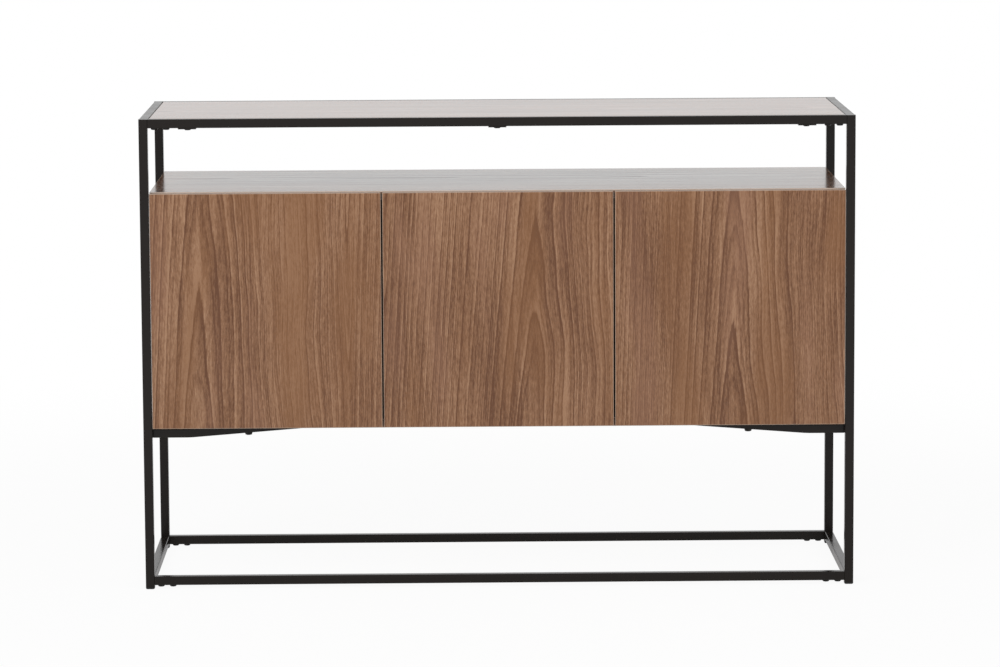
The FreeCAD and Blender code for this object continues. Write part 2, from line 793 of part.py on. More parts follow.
def plate_shape(face):
    """The mounting plate on a board's face, with the raised saddle that the arm sits on."""
    middle = value("door + door_back_gap + plate_back")
    half_width = value("plate_width / 2")
    tall = value("plate_half_height")
    base_top = face + value("plate_sheet")
    shape = block(Vector(face, middle - half_width, -tall), Vector(base_top, middle + half_width, tall))
    saddle_half = value("link_half_width + ear_gap - saddle_gap")
    reach = value("saddle_length / 2")
    saddle = block(Vector(face, middle - reach, -saddle_half),
                   Vector(value("arm_top"), middle + reach, saddle_half))
    shape = shape.fuse(saddle)
    for half in (-1, 1):
        hole = Vector(face, middle, value("plate_screw_half") * half)
        radius = value("wood_screw_radius + thread_gap")
        shape = shape.cut(rod(radius, hole, Vector(1, 0, 0), value("plate_sheet")))
    return shape.removeSplitter()


cup = cup_shape()
link = link_shape()
arm = arm_shape()
cup_screw = wood_screw(value("cup_flange + cup_screw_bite"))
plate_screw = wood_screw(value("plate_sheet + plate_screw_bite"))
arms = []
plates = {"outer": [], "centre": []}
plate_screws = []
latch_bodies = []
for name, (edge, sign, board, face_text) in DOORS.items():
    edge_x = value(edge)
    face = value(face_text)
    cups = []
    links = []
    cup_screws = []
    door_holes = []
    back_y = value("door")
    for level_text in HINGE_LEVELS:
        level = value(level_text)
        cups.append(seated(cup, edge_x, sign, level))
        links.append(seated(link, edge_x, sign, level))
        arms.append(seated(arm, edge_x, sign, level))
        plate_kind = "centre" if name == "centre" else "outer"
        plates[plate_kind].append(seated(plate_shape(face), edge_x, sign, level))
        bore_depth = value("cup_depth + cup_bore_gap")
        bore_start = Vector(value("cup_in"), back_y, 0)
        bore = rod(value("cup_radius + cup_bore_gap"), bore_start, Vector(0, -1, 0), bore_depth)
        door_holes.append(seated(bore, edge_x, sign, level))
        for half in (-1, 1):
            flange_back = back_y + value("cup_flange")
            spot = Vector(value("cup_screw_in"), flange_back, value("cup_screw_half") * half)
            cup_screws.append(seated(put(cup_screw, spot, Vector(0, -1, 0)), edge_x, sign, level))
            radius = value("wood_screw_radius + thread_gap")
            depth = value("cup_flange + cup_screw_bite + thread_gap")
            hole = rod(radius, spot, Vector(0, -1, 0), depth)
            door_holes.append(seated(hole, edge_x, sign, level))
            middle = value("door + door_back_gap + plate_back")
            spot = Vector(face + value("plate_sheet"), middle, value("plate_screw_half") * half)
            plate_screws.append(seated(put(plate_screw, spot, Vector(-1, 0, 0)), edge_x, sign, level))
            depth = value("plate_sheet + plate_screw_bite + thread_gap")
            hole = rod(radius, spot, Vector(-1, 0, 0), depth)
            drill(board, seated(hole, edge_x, sign, level))
    low_x = edge if sign > 0 else f"{edge} - {DOOR_WIDTH}"
    leaf = box((low_x, FRONT, DOOR_LOW), (DOOR_WIDTH, "door", DOOR_HEIGHT))
    node(f"door_{name}", cut(rounded(leaf, "door_round"), door_holes))
    group(f"hinge_cups_{name}", cups)
    group(f"cup_screws_{name}", cup_screws)
    group(f"hinge_links_{name}", links)

    # Push latch under the cabinet's top, near the door's free edge
    latch_x = edge_x + sign * (value(DOOR_WIDTH) - value("latch_inset"))
    half = value("latch_width / 2")
    top_z = value(TOP_UNDER)
    front_y = value(f"{CARCASS_FRONT} + latch_setback")
    housing = block(Vector(latch_x - half, front_y, top_z - value("latch_height")),
                    Vector(latch_x + half, front_y + value("latch_length"), top_z))
    long_edges = [edge for edge in housing.Edges
                  if abs(edge.tangentAt(0).y) > 0.5 and edge.BoundBox.ZMax < top_z - half / 2]
    housing = housing.makeFillet(value("latch_round"), long_edges)
    middle_z = top_z - value("latch_height / 2")
    mouth = Vector(latch_x, front_y, middle_z)
    bore = rod(value("plunger_radius + plunger_gap"), mouth, Vector(0, 1, 0), value("plunger_bore"))
    latch_bodies.append(housing.cut(bore))
    tip_y = value(f"{FRONT} + door + strike_sheet + strike_gap")
    plunger = rod(value("plunger_radius"), Vector(latch_x, tip_y, middle_z), Vector(0, 1, 0),
                  value("plunger_length"))
    tip_edges = [edge for edge in plunger.Edges if edge.BoundBox.YMax < tip_y + half / 2]
    plunger = plunger.makeFillet(value("plunger_radius / 4"), tip_edges)
    node(f"latch_plunger_{name}", feature(plunger))
    half = value("strike / 2")
    door_back = value(f"{FRONT} + door")
    strike = block(Vector(latch_x - half, door_back, middle_z - half),
                   Vector(latch_x + half, door_back + value("strike_sheet"), middle_z + half))
    upright = [edge for edge in strike.Edges if abs(edge.tangentAt(0).y) > 0.5]
    node(f"strike_plate_{name}", feature(strike.makeFillet(half / 4, upright)))
group("hinge_arms", arms)
group("hinge_plates_outer", plates["outer"])
group("hinge_plates_centre", plates["centre"])
group("plate_screws", plate_screws)
group("latch_bodies", latch_bodies)

# Cabinet boards, drilled and grooved for what they hold
groove_low = Vector(value(f"-{HALF_IN} - groove_depth"), value(f"{BACK_FACE} - groove_gap"),
                    value(f"{FLOOR_TOP} - groove_depth"))
groove_high = Vector(value(f"{HALF_IN} + groove_depth"),
                     value(f"{BACK_FACE} + back_sheet + groove_gap"),
                     value(f"{TOP_UNDER} + groove_depth"))
groove = block(groove_low, groove_high)
for board in ("cabinet_top", "cabinet_bottom", "cabinet_side_left", "cabinet_side_right"):
    drill(board, groove)

top_length = "(overall_width - 2 * tube - 2 * cabinet_leg_gap)"
upright_depth = f"({BACK_FACE} - {CARCASS_FRONT})"
side_height = f"({TOP_UNDER} - cabinet_lift)"
BOARDS = {
    "cabinet_top": ((f"-{top_length} / 2", CARCASS_FRONT, TOP_UNDER),
                    (top_length, CARCASS_DEPTH, "board")),
    "cabinet_bottom": ((f"-{HALF_IN}", CARCASS_FRONT, "cabinet_lift"),
                       (f"2 * {HALF_IN}", CARCASS_DEPTH, "board")),
    "cabinet_side_left": ((f"-{HALF_OUT}", CARCASS_FRONT, "cabinet_lift"),
                          ("board", CARCASS_DEPTH, side_height)),
    "cabinet_side_right": ((HALF_IN, CARCASS_FRONT, "cabinet_lift"),
                           ("board", CARCASS_DEPTH, side_height)),
    "divider_left": ((f"-{DIVIDER_X} - board / 2", CARCASS_FRONT, FLOOR_TOP),
                     ("board", upright_depth, COMPARTMENT_HEIGHT)),
    "divider_right": ((f"{DIVIDER_X} - board / 2", CARCASS_FRONT, FLOOR_TOP),
                      ("board", upright_depth, COMPARTMENT_HEIGHT)),
}
for label, (corner, size) in BOARDS.items():
    node(label, cut(box(corner, size), drillings[label]))

back_length = f"2 * ({HALF_IN} + groove_depth - back_end_gap)"
back_height = f"({COMPARTMENT_HEIGHT} + 2 * (groove_depth - back_end_gap))"
back_corner = (f"-({back_length}) / 2", BACK_FACE, f"{FLOOR_TOP} - groove_depth + back_end_gap")
node("cabinet_back", box(back_corner, (back_length, "back_sheet", back_height)))

doc.recompute()
for thing in doc.Objects:
    if "Invalid" in thing.State or "Error" in thing.State:
        raise RuntimeError(f"{thing.Name} failed: {thing.State}")
os.makedirs("parts", exist_ok=True)
for label, thing in nodes.items():
    shape = thing.Shape
    if shape.isNull() or not shape.isValid():
        raise RuntimeError(f"{label} has no valid shape")
for label, thing in nodes.items():
    thing.Shape.exportStep(f"parts/{label}.step")
    print(f"{label}: {len(thing.Shape.Solids)} solids, {thing.Shape.Volume / 1000:.1f} cm3")
print(f"{len(nodes)} nodes")
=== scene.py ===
"""Dresses the sideboard: black tube frame, walnut boards and doors, hinges, latches and screws.

Metres, in the part's own frame: +Z is up, +X is right, and the doors face -Y.
"""

import logging
import math
from dataclasses import dataclass
from enum import Enum
from functools import reduce
from typing import Any, Callable, Iterable, Sequence, Union

import bmesh
import bpy
from mathutils import Matrix, Vector


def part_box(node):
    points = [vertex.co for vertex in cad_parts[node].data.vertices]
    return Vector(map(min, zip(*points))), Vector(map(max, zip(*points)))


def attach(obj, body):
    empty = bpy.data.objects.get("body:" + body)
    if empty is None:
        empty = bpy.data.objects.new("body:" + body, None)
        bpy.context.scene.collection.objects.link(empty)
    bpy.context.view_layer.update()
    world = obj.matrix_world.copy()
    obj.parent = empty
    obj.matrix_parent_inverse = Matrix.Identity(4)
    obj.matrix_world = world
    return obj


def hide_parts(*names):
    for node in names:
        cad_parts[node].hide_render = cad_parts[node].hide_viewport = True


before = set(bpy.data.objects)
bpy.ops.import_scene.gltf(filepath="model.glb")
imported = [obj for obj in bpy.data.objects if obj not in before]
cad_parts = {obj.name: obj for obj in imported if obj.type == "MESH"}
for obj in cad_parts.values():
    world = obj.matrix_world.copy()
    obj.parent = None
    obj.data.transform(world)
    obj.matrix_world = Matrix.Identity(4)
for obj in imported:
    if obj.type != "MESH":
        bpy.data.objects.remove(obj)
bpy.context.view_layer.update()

MM = 0.001
UP = Vector((0, 0, 1))
DOWN = Vector((0, 0, -1))
SIDES = ("left", "centre", "right")
report = logging.getLogger("sideboard")

# Within NEAR a point counts as on a level or an axis, past ALONG a unit vector's part as along it
NEAR = 0.01 * MM
ALONG = 0.9

# The Mix node's sockets for colours
MIX_SHARE, MIX_FIRST, MIX_SECOND, MIX_RESULT = 0, 6, 7, 2

Colour = tuple[float, float, float]
Triple = tuple[float, float, float]


def srgb(red: float, green: float, blue: float) -> Colour:
    """Turns a screen colour into a linear one.

    Args:
        red: Red from 0 to 255.
        green: Green from 0 to 255.
        blue: Blue from 0 to 255.

    Returns:
        The three linear values from 0 to 1.
    """
    def linear(level: float) -> float:
        """One channel, from 0 to 255 on screen to 0 to 1 in light."""
        share = level / 255
        return share / 12.92 if share <= 0.04045 else ((share + 0.055) / 1.055) ** 2.4

    return linear(red), linear(green), linear(blue)


class Value:
    """A number socket whose arithmetic adds Math nodes to its material."""

    def __init__(self, tree: "Tree", socket: bpy.types.NodeSocket) -> None:
        """Keeps the socket and the tree that it belongs to.

        Args:
            tree: The material's node tree.
            socket: The output socket that carries the number.
        """
        self.tree = tree
        self.socket = socket

    def math(self, operation: str, *others: "Number") -> "Value":
        """Adds one Math node.

        Args:
            operation: The node's operation.
            others: The values after this one.

        Returns:
            The node's result.
        """
        inputs = dict(enumerate((self, *others)))
        node = self.tree.node("ShaderNodeMath", {"operation": operation}, inputs)
        return Value(self.tree, node.outputs[0])

    def __add__(self, other: "Number") -> "Value":
        """This value plus another."""
        return self.math("ADD", other)

    def __sub__(self, other: "Number") -> "Value":
        """This value less another."""
        return self.math("SUBTRACT", other)

    def __rsub__(self, other: float) -> "Value":
        """A number less this value."""
        return self.math("MULTIPLY_ADD", -1.0, other)

    def __mul__(self, other: "Number") -> "Value":
        """This value times another."""
        return self.math("MULTIPLY", other)

    def __truediv__(self, other: "Number") -> "Value":
        """This value over another."""
        return self.math("DIVIDE", other)

    def __pow__(self, other: "Number") -> "Value":
        """This value to a power."""
        return self.math("POWER", other)

    def __abs__(self) -> "Value":
        """This value without its sign."""
        return self.math("ABSOLUTE")

    __radd__ = __add__
    __rmul__ = __mul__

    def root(self) -> "Value":
        """The square root."""
        return self.math("SQRT")

    def swing(self, weight: float) -> "Value":
        """A noise from 0 to 1 moved to both sides of 0 and weighted."""
        return (self - 0.5) * weight

    def fraction(self) -> "Value":
        """What is left above the whole number."""
        return self.math("FRACT")

    def above(self, limit: "Number") -> "Value":
        """1 where this value is over the limit, else 0."""
        return self.math("GREATER_THAN", limit)

    def most(self, other: "Number") -> "Value":
        """The larger of two values."""
        return self.math("MAXIMUM", other)

    def rise(self, low: float, high: float) -> "Value":
        """Goes smoothly from 0 to 1 between two limits.

        Args:
            low: Where the result is 0.
            high: Where the result is 1.

        Returns:
            The eased value.
        """
        node = self.tree.node("ShaderNodeMapRange", {"interpolation_type": "SMOOTHSTEP"},
                              {"Value": self, "From Min": low, "From Max": high})
        return Value(self.tree, node.outputs["Result"])


Number = Union[Value, float]


class Tree:
    """The emptied node tree of a world or a material."""

    def __init__(self, owner: bpy.types.ID) -> None:
        """Empties the owner's tree.

        Args:
            owner: The world or the material.
        """
        owner.use_nodes = True
        self.nodes = owner.node_tree.nodes
        self.links = owner.node_tree.links
        self.nodes.clear()

    def feed(self, socket: bpy.types.NodeSocket, content: Any) -> None:
        """Puts a link, a colour or a plain value on a socket.

        Args:
            socket: The input socket.
            content: A Value, an output socket, a colour or a number.
        """
        if isinstance(content, Value):
            self.links.new(content.socket, socket)
        elif isinstance(content, bpy.types.NodeSocket):
            self.links.new(content, socket)
        else:
            socket.default_value = (*content, 1) if socket.type == "RGBA" else content

    def node(self, kind: str, settings: dict[str, Any], inputs: dict[Any, Any]) -> bpy.types.Node:
        """Adds a node, sets it and then fills its sockets.

        Args:
            kind: The node's type.
            settings: Its own settings; "stops" are the places and colours of a ramp.
            inputs: Values, sockets or Value objects by socket name or number.

        Returns:
            The new node.
        """
        node = self.nodes.new(kind)
        for name, setting in settings.items():
            if name == "stops":
                elements = node.color_ramp.elements
                while len(elements) < len(setting):
                    elements.new(0.5)
                for element, (position, colour) in zip(elements, setting):
                    element.position = position
                    element.color = (*colour, 1)
            else:
                setattr(node, name, setting)
        for name, content in inputs.items():
            self.feed(node.inputs[name], content)
        return node

    def rays(self, *kinds: str) -> Value:
        """1 for light rays of any of these kinds, else 0.

        Args:
            kinds: "Camera", "Glossy" or "Transmission".

        Returns:
            The mask.
        """
        path = self.node("ShaderNodeLightPath", {}, {})
        masks = [Value(self, path.outputs[f"Is {kind} Ray"]) for kind in kinds]
        return reduce(Value.most, masks)

    def point(self, x: Number, y: Number, z: Number) -> bpy.types.NodeSocket:
        """A vector socket from three values."""
        return self.node("ShaderNodeCombineXYZ", {}, {0: x, 1: y, 2: z}).outputs[0]

    def noise(self, vector: bpy.types.NodeSocket, stretch: Sequence[float], shift: float = 0.0,
              detail: float = 2.0, roughness: float = 0.5) -> Value:
        """Soft noise from 0 to 1, read at a stretched and shifted point.

        Args:
            vector: The point that it is read at.
            stretch: Features to a metre along each axis.
            shift: Moves the pattern to another part of the noise.
            detail: How many finer layers are added.
            roughness: How strong the finer layers are.

        Returns:
            The noise.
        """
        place = self.node("ShaderNodeMapping", {"vector_type": "POINT"},
                          {"Vector": vector, "Location": (shift, shift * 0.7, shift * 1.3),
                           "Scale": tuple(stretch)})
        node = self.node("ShaderNodeTexNoise", {},
                         {"Vector": place.outputs[0], "Scale": 1.0, "Detail": detail,
                          "Roughness": roughness})
        return Value(self, node.outputs[0])

    def lot(self, number: Value) -> Value:
        """A fixed random value from 0 to 1 for each whole number."""
        node = self.node("ShaderNodeTexWhiteNoise", {"noise_dimensions": "1D"}, {"W": number})
        return Value(self, node.outputs["Value"])

    def mix(self, share: Number, first: Any, second: Any, blend: str = "MIX") -> bpy.types.NodeSocket:
        """Mixes two colours.

        Args:
            share: How much of the second colour is used.
            first: A colour or a colour socket.
            second: A colour or a colour socket.
            blend: How the second goes over the first.

        Returns:
            The mixed colour.
        """
        node = self.node("ShaderNodeMix", {"data_type": "RGBA", "blend_type": blend},
                         {MIX_SHARE: share, MIX_FIRST: first, MIX_SECOND: second})
        return node.outputs[MIX_RESULT]


class Surface(Tree):
    """A material's tree, with a Principled surface that reads the piece's own coordinates."""

    def __init__(self, name: str) -> None:
        """Makes the material and its surface.

        Args:
            name: The material's name.
        """
        self.material = bpy.data.materials.new(name)
        super().__init__(self.material)
        self.surface = self.node("ShaderNodeBsdfPrincipled", {}, {})
        self.output = self.node("ShaderNodeOutputMaterial", {}, {"Surface": self.surface.outputs[0]})
        self.coordinates = self.node("ShaderNodeTexCoord", {}, {}).outputs["Object"]

    def place(self) -> tuple[Value, Value, Value]:
        """The point's place on the piece, as three values in metres."""
        split = self.node("ShaderNodeSeparateXYZ", {}, {0: self.coordinates})
        return tuple(Value(self, socket) for socket in split.outputs)

    def finish(self, colour: Any, roughness: Number, height: Value | None = None,
               depth: float = 0.0, **constants: Any) -> bpy.types.Material:
        """Feeds the surface and gives the material.

        Args:
            colour: The base colour or its socket.
            roughness: The roughness.
            height: A relief from 0 to 1, or None for a smooth surface.
            depth: How deep the relief is, in metres.
            constants: Other sockets of the surface, with _ for each space.

        Returns:
            The finished material.
        """
        inputs = {"Base Color": colour, "Roughness": roughness}
        inputs.update((name.replace("_", " "), content) for name, content in constants.items())
        if height is not None:
            bump = self.node("ShaderNodeBump", {}, {"Strength": 1.0, "Distance": depth,
                                                    "Height": height})
            inputs["Normal"] = bump.outputs[0]
        for name, content in inputs.items():
            self.feed(self.surface.inputs[name], content)
        return self.material


@dataclass(frozen=True)
class PowderCoat:
    """Satin powder coat on steel, with its fine orange-peel skin."""
    name: str = "powder_coat"
    colour: Colour = srgb(20, 15, 12)
    fleck_colour: Colour = srgb(70, 68, 66)
    lift: float = 1.5
    roughness: float = 0.2
    gloss: float = 0.24
    peel: Triple = (900.0, 900.0, 900.0)
    cloud: Triple = (14.0, 14.0, 14.0)
    fleck: Triple = (2600.0, 2600.0, 2600.0)
    peel_depth: float = 0.03 * MM

    def make(self) -> bpy.types.Material:
        """Builds the material."""
        tree = Surface(self.name)
        skin = tree.noise(tree.coordinates, self.peel, detail=1.0)
        cloud = tree.noise(tree.coordinates, self.cloud, shift=3.1)
        fleck = tree.noise(tree.coordinates, self.fleck, shift=7.7, detail=0.0).rise(0.72, 0.8)
        lifted = tuple(level * self.lift for level in self.colour)
        colour = tree.mix(cloud, self.colour, lifted)
        colour = tree.mix(fleck * 0.25, colour, self.fleck_colour)
        rough = self.roughness + cloud.swing(0.12) + skin.swing(0.06)
        return tree.finish(colour, rough, skin, self.peel_depth, Specular_IOR_Level=self.gloss)


class Lay(Enum):
    """How a board's grain lies: the axes across it, into it and along it."""
    DOOR = (0, 1, 2)
    UPRIGHT = (1, 0, 2)
    FLAT = (1, 2, 0)


@dataclass(frozen=True)
class Walnut:
    """Printed walnut board: flame-shaped growth rings, fibre and pores, with colour painted at the
    arrises of its outline: a painted highlight of light caught by the eased edge, partly a pale edge
    band; a dark edge colour gives painted shade instead.

    The rings are level lines of a field that falls to the heart line, rises to a valley half a
    period beside it and climbs along the board, so arches stand over the heart line.
    """
    name: str
    lay: Lay
    seed: float
    heart: float = 0.0
    period: float = 0.5
    lean: float = 0.0
    climb: float = 3.6
    phase: float = 0.0
    ends: tuple[float, float] = (-1.0, 1.0)
    sides: tuple[float, float] = (-1.0, 1.0)
    faces: tuple[float, float] = (-1.0, 1.0)
    dark: Colour = srgb(96, 55, 24)
    middle: Colour = srgb(134, 93, 62)
    light: Colour = srgb(166, 126, 95)
    honey: Colour = srgb(128, 83, 44)
    rose: Colour = srgb(144, 102, 78)
    # Colour painted at the arrises: a painted highlight of light caught by the eased edge, partly a pale
    # edge band.
    band: Colour = srgb(214, 190, 170)
    band_share: float = 0.55
    band_depth: float = 1.2 * MM
    band_inset: float = 0.7 * MM
    rings: float = 140.0
    crowding: float = 1.4
    sunk: float = 180.0
    bow: float = 8 * MM
    bend: Triple = (6.0, 9.0, 2.2)
    ripple: Triple = (26.0, 30.0, 6.0)
    ring_stray: tuple[float, float] = (24 * MM, 5 * MM)
    fibre_stray: tuple[float, float] = (50 * MM, 8 * MM)
    fibre: Triple = (620.0, 620.0, 26.0)
    streak: Triple = (170.0, 300.0, 3.0)
    grit: Triple = (560.0, 400.0, 105.0)
    pore: Triple = (760.0, 500.0, 64.0)
    cloud: Triple = (11.0, 9.0, 3.0)
    warmth: Triple = (13.0, 9.0, 2.5)
    base_tone: float = 0.53
    streak_weight: float = 1.15
    fibre_weight: float = 0.6
    grit_weight: float = 1.15
    cloud_weight: float = 0.9
    late_weight: float = 0.66
    early_weight: float = 0.26
    thin_weight: float = 0.3
    honey_share: float = 0.55
    rose_share: float = 0.35
    pore_share: float = 0.34
    relief_depth: float = 0.012 * MM
    roughness: float = 0.2
    coat: float = 0.0
    coat_smoothness: float = 0.7
    gloss: float = 0.5

    def make(self) -> bpy.types.Material:
        """Builds the material."""
        tree = Surface(self.name)
        place = tree.place()
        across, deep, along = (place[axis] for axis in self.lay.value)
        point = tree.point(across, deep, along)
        bend = tree.noise(point, self.bend, self.seed, 2.0) - 0.5
        ripple = tree.noise(point, self.ripple, self.seed + 5, 1.0) - 0.5
        ringed = across + bend * self.ring_stray[0] + ripple * self.ring_stray[1]
        drawn = across + bend * self.fibre_stray[0] + ripple * self.fibre_stray[1]
        point = tree.point(drawn, deep, along)
        fibre = tree.noise(point, self.fibre, self.seed + 33, 3.0, 0.62)
        years = (self.years(tree, ringed, deep, along) + bend * 2.0 + ripple * 0.4
                 + fibre.swing(0.12))
        early, late, strength = self.ring(tree, years)
        thin = self.thin_line(tree, years * 3.0 + fibre.swing(0.2))
        streak = tree.noise(point, self.streak, self.seed + 21, 4.0, 0.62)
        cloud = tree.noise(point, self.cloud, self.seed + 44, 2.0)
        grit = tree.noise(point, self.grit, self.seed + 50, 2.0, 0.7)
        pore = tree.noise(point, self.pore, self.seed + 57, 1.0).rise(0.6, 0.8)
        tone = (self.base_tone + streak.swing(self.streak_weight) + fibre.swing(self.fibre_weight)
                + grit.swing(self.grit_weight) + cloud.swing(self.cloud_weight)
                - late * (strength * self.late_weight + 0.06)
                + early * (strength * self.early_weight + 0.02) - thin * self.thin_weight)
        warm = tree.noise(point, self.warmth, self.seed + 71, 2.0)
        colour = self.stain(tree, tone, warm, pore)
        # Painted highlight at the arrises, partly a pale edge band; painted shade on boards whose edge
        # colour is dark.
        colour = tree.mix(self.edge(across, deep, along) * self.band_share, colour, self.band)
        relief = fibre * 0.6 - pore * 0.5 - late * 0.2
        rough = self.roughness + fibre.swing(0.1) + late * 0.04 + pore * 0.08
        sheen = self.coat * (1 + streak.swing(1.5) + fibre.swing(0.7) - late * strength * 0.5)
        return tree.finish(colour, rough, relief, self.relief_depth, Specular_IOR_Level=self.gloss,
                           Coat_Weight=sheen, Coat_Roughness=self.roughness * self.coat_smoothness)

    def ring(self, tree: Surface, years: Value) -> tuple[Value, Value, Value]:
        """Splits each growth ring into its pale start and its dark end.

        Args:
            tree: The material's tree.
            years: How many rings lie before the point.

        Returns:
            The pale wood, the dark wood and the ring's own strength.
        """
        ring = years.fraction()
        strength = tree.lot(years - ring + self.seed)
        late = (ring.rise(0.4, 0.9) * 0.35 + ring.rise(0.84, 0.96) * 0.65) * (1 - ring.rise(0.965, 1.0))
        early = (1 - ring.rise(0.03, 0.4)) * ring.rise(0.0, 0.03)
        return early, late, strength

    def thin_line(self, tree: Surface, lines: Value) -> Value:
        """The faint line at the end of each whole count, strong or weak by lot."""
        share = lines.fraction()
        faint = tree.lot(lines - share + self.seed + 40.0)
        return share.rise(0.3, 0.9) * (1 - share.rise(0.92, 1.0)) * faint

    def stain(self, tree: Surface, tone: Value, warm: Value, pore: Value) -> bpy.types.NodeSocket:
        """Turns the grain's tone into wood colour.

        Args:
            tree: The material's tree.
            tone: 0 in the darkest lines to 1 in the lightest.
            warm: Low where the wood turns rosy, high where it turns honey brown.
            pore: 1 in the open pores.

        Returns:
            The colour.
        """
        ramp = tree.node("ShaderNodeValToRGB",
                         {"stops": ((0.08, self.dark), (0.5, self.middle), (0.92, self.light))},
                         {0: tone})
        colour = tree.mix(warm.rise(0.5, 0.72) * self.honey_share, ramp.outputs[0], self.honey)
        colour = tree.mix((1 - warm.rise(0.3, 0.5)) * self.rose_share, colour, self.rose)
        return tree.mix(pore * self.pore_share, colour, self.dark)

    def years(self, tree: Surface, across: Value, deep: Value, along: Value) -> Value:
        """How many growth rings lie between the heart line and a point.

        Args:
            tree: The material's tree.
            across: The place across the grain, with its stray.
            deep: The place through the board.
            along: The place along the grain.

        Returns:
            The count, whose whole numbers are the rings' dark lines.
        """
        side = across - self.heart - along * self.lean
        turn = (side / self.period).fraction() * self.period
        arc = turn.math("SMOOTH_MIN", turn * -1.0 + self.period, 0.02)
        bowed = (arc * arc + self.bow ** 2) ** (self.crowding / 2)
        count = bowed * self.rings + along * self.climb + deep * self.sunk + self.phase
        uneven = tree.noise(tree.point(count, 0.0, 0.0), (0.45, 1.0, 1.0), self.seed + 3, 0.0)
        return count + uneven * 1.6

    def edge(self, across: Value, deep: Value, along: Value) -> Value:
        """Where the painted edge colour goes, at the arris of the board's outline: a painted highlight of
        caught light, partly a pale edge band, and painted shade where that colour is dark.

        Args:
            across: The place across the grain.
            deep: The place through the board.
            along: The place along the grain.

        Returns:
            1 at the arris, else 0.
        """
        def outside(place: Value, limits: tuple[float, float], inset: float) -> Value:
            """1 within the inset of either limit, or past it."""
            low, high = limits
            return abs(place - (low + high) / 2).above((high - low) / 2 - inset)

        outline = outside(across, self.sides, self.band_inset).most(
            outside(along, self.ends, self.band_inset))
        return outline * outside(deep, self.faces, self.band_depth)


@dataclass(frozen=True)
class Hardboard:
    """Pressed fibre back board, printed with walnut on the side that faces the doors."""
    name: str = "hardboard"
    rear: float = 0.1915
    fibre: Colour = srgb(176, 139, 104)
    fleck: Colour = srgb(132, 98, 69)
    stain: Colour = srgb(158, 122, 88)
    print_dark: Colour = srgb(104, 70, 48)
    print_light: Colour = srgb(146, 108, 82)
    print_tone: Colour = srgb(124, 88, 64)
    pulp: Triple = (420.0, 420.0, 420.0)
    cloud: Triple = (6.0, 6.0, 6.0)
    streak: Triple = (110.0, 20.0, 2.4)
    relief_depth: float = 0.05 * MM

    def make(self) -> bpy.types.Material:
        """Builds the material."""
        tree = Surface(self.name)
        _, y, _ = tree.place()
        pulp = tree.noise(tree.coordinates, self.pulp, detail=4.0, roughness=0.7)
        cloud = tree.noise(tree.coordinates, self.cloud, shift=2.0)
        back = tree.mix(pulp.rise(0.42, 0.7), self.fleck, self.fibre)
        back = tree.mix((cloud - 0.35) * 0.35, back, self.stain)
        streak = tree.noise(tree.coordinates, self.streak, shift=9.0, detail=3.0)
        face = tree.mix(streak.rise(0.3, 0.75), self.print_dark, self.print_light)
        face = tree.mix(cloud * 0.4, face, self.print_tone)
        behind = y.above(self.rear)
        colour = tree.mix(behind, face, back)
        rough = 0.42 + behind * 0.3 + pulp.swing(0.15)
        return tree.finish(colour, rough, pulp, self.relief_depth, Specular_IOR_Level=0.4)


@dataclass(frozen=True)
class Plating:
    """Thin metal plating on pressed steel, with faint draw marks and handling haze."""
    name: str
    colour: Colour
    roughness: float
    metallic: float = 1.0
    draw: Triple = (60.0, 900.0, 900.0)
    haze: Triple = (70.0, 70.0, 70.0)
    shade: float = 0.72
    relief_depth: float = 0.01 * MM

    def make(self) -> bpy.types.Material:
        """Builds the material."""
        tree = Surface(self.name)
        marks = tree.noise(tree.coordinates, self.draw, detail=2.0)
        haze = tree.noise(tree.coordinates, self.haze, shift=4.0, detail=3.0)
        shade = tuple(level * self.shade for level in self.colour)
        colour = tree.mix(haze.rise(0.35, 0.75) * 0.6, self.colour, shade)
        rough = self.roughness + marks.swing(0.16) + haze.swing(0.16)
        return tree.finish(colour, rough, marks, self.relief_depth, Metallic=self.metallic)


@dataclass(frozen=True)
class Plastic:
    """Moulded plastic with a fine spark-eroded grain."""
    name: str
    colour: Colour
    roughness: float = 0.5
    gloss: float = 0.45
    grain: Triple = (1800.0, 1800.0, 1800.0)
    flow: Triple = (45.0, 45.0, 45.0)
    shade: float = 0.8
    relief_depth: float = 0.02 * MM

    def make(self) -> bpy.types.Material:
        """Builds the material."""
        tree = Surface(self.name)
        grain = tree.noise(tree.coordinates, self.grain, detail=2.0)
        flow = tree.noise(tree.coordinates, self.flow, shift=1.5)
        shade = tuple(level * self.shade for level in self.colour)
        colour = tree.mix(flow * 0.7, self.colour, shade)
        rough = self.roughness + grain.swing(0.14)
        return tree.finish(colour, rough, grain, self.relief_depth, Specular_IOR_Level=self.gloss)


# Says yes or no to a middle and a direction, a face's normal or an edge's run
Rule = Callable[[Vector, Vector], bool]


def upright(middle: Vector, way: Vector) -> bool:
    """Picks edges that run along Z."""
    return abs(way.z) > ALONG


def level_run(middle: Vector, way: Vector) -> bool:
    """Picks edges that lie flat."""
    return abs(way.z) < 1 - ALONG


def facing_up(middle: Vector, way: Vector) -> bool:
    """Picks faces that look up."""
    return way.z > ALONG


def facing_down(middle: Vector, way: Vector) -> bool:
    """Picks faces that look down."""
    return way.z < -ALONG


def centre_up(middle: Vector, way: Vector) -> bool:
    """Picks the face on the Z axis that looks up."""
    return facing_up(middle, way) and middle.xy.length < NEAR


def centre_down(middle: Vector, way: Vector) -> bool:
    """Picks the face on the Z axis that looks down."""
    return facing_down(middle, way) and middle.xy.length < NEAR


def at_level(level: float) -> Rule:
    """The rule that picks what lies at a height."""
    return lambda middle, way: abs(middle.z - level) < NEAR


class Recess(Enum):
    """What drives a screw: corners of the socket's outline, and how far every third is drawn in."""
    HEX = (6, 1.0)
    CROSS = (12, 0.42)


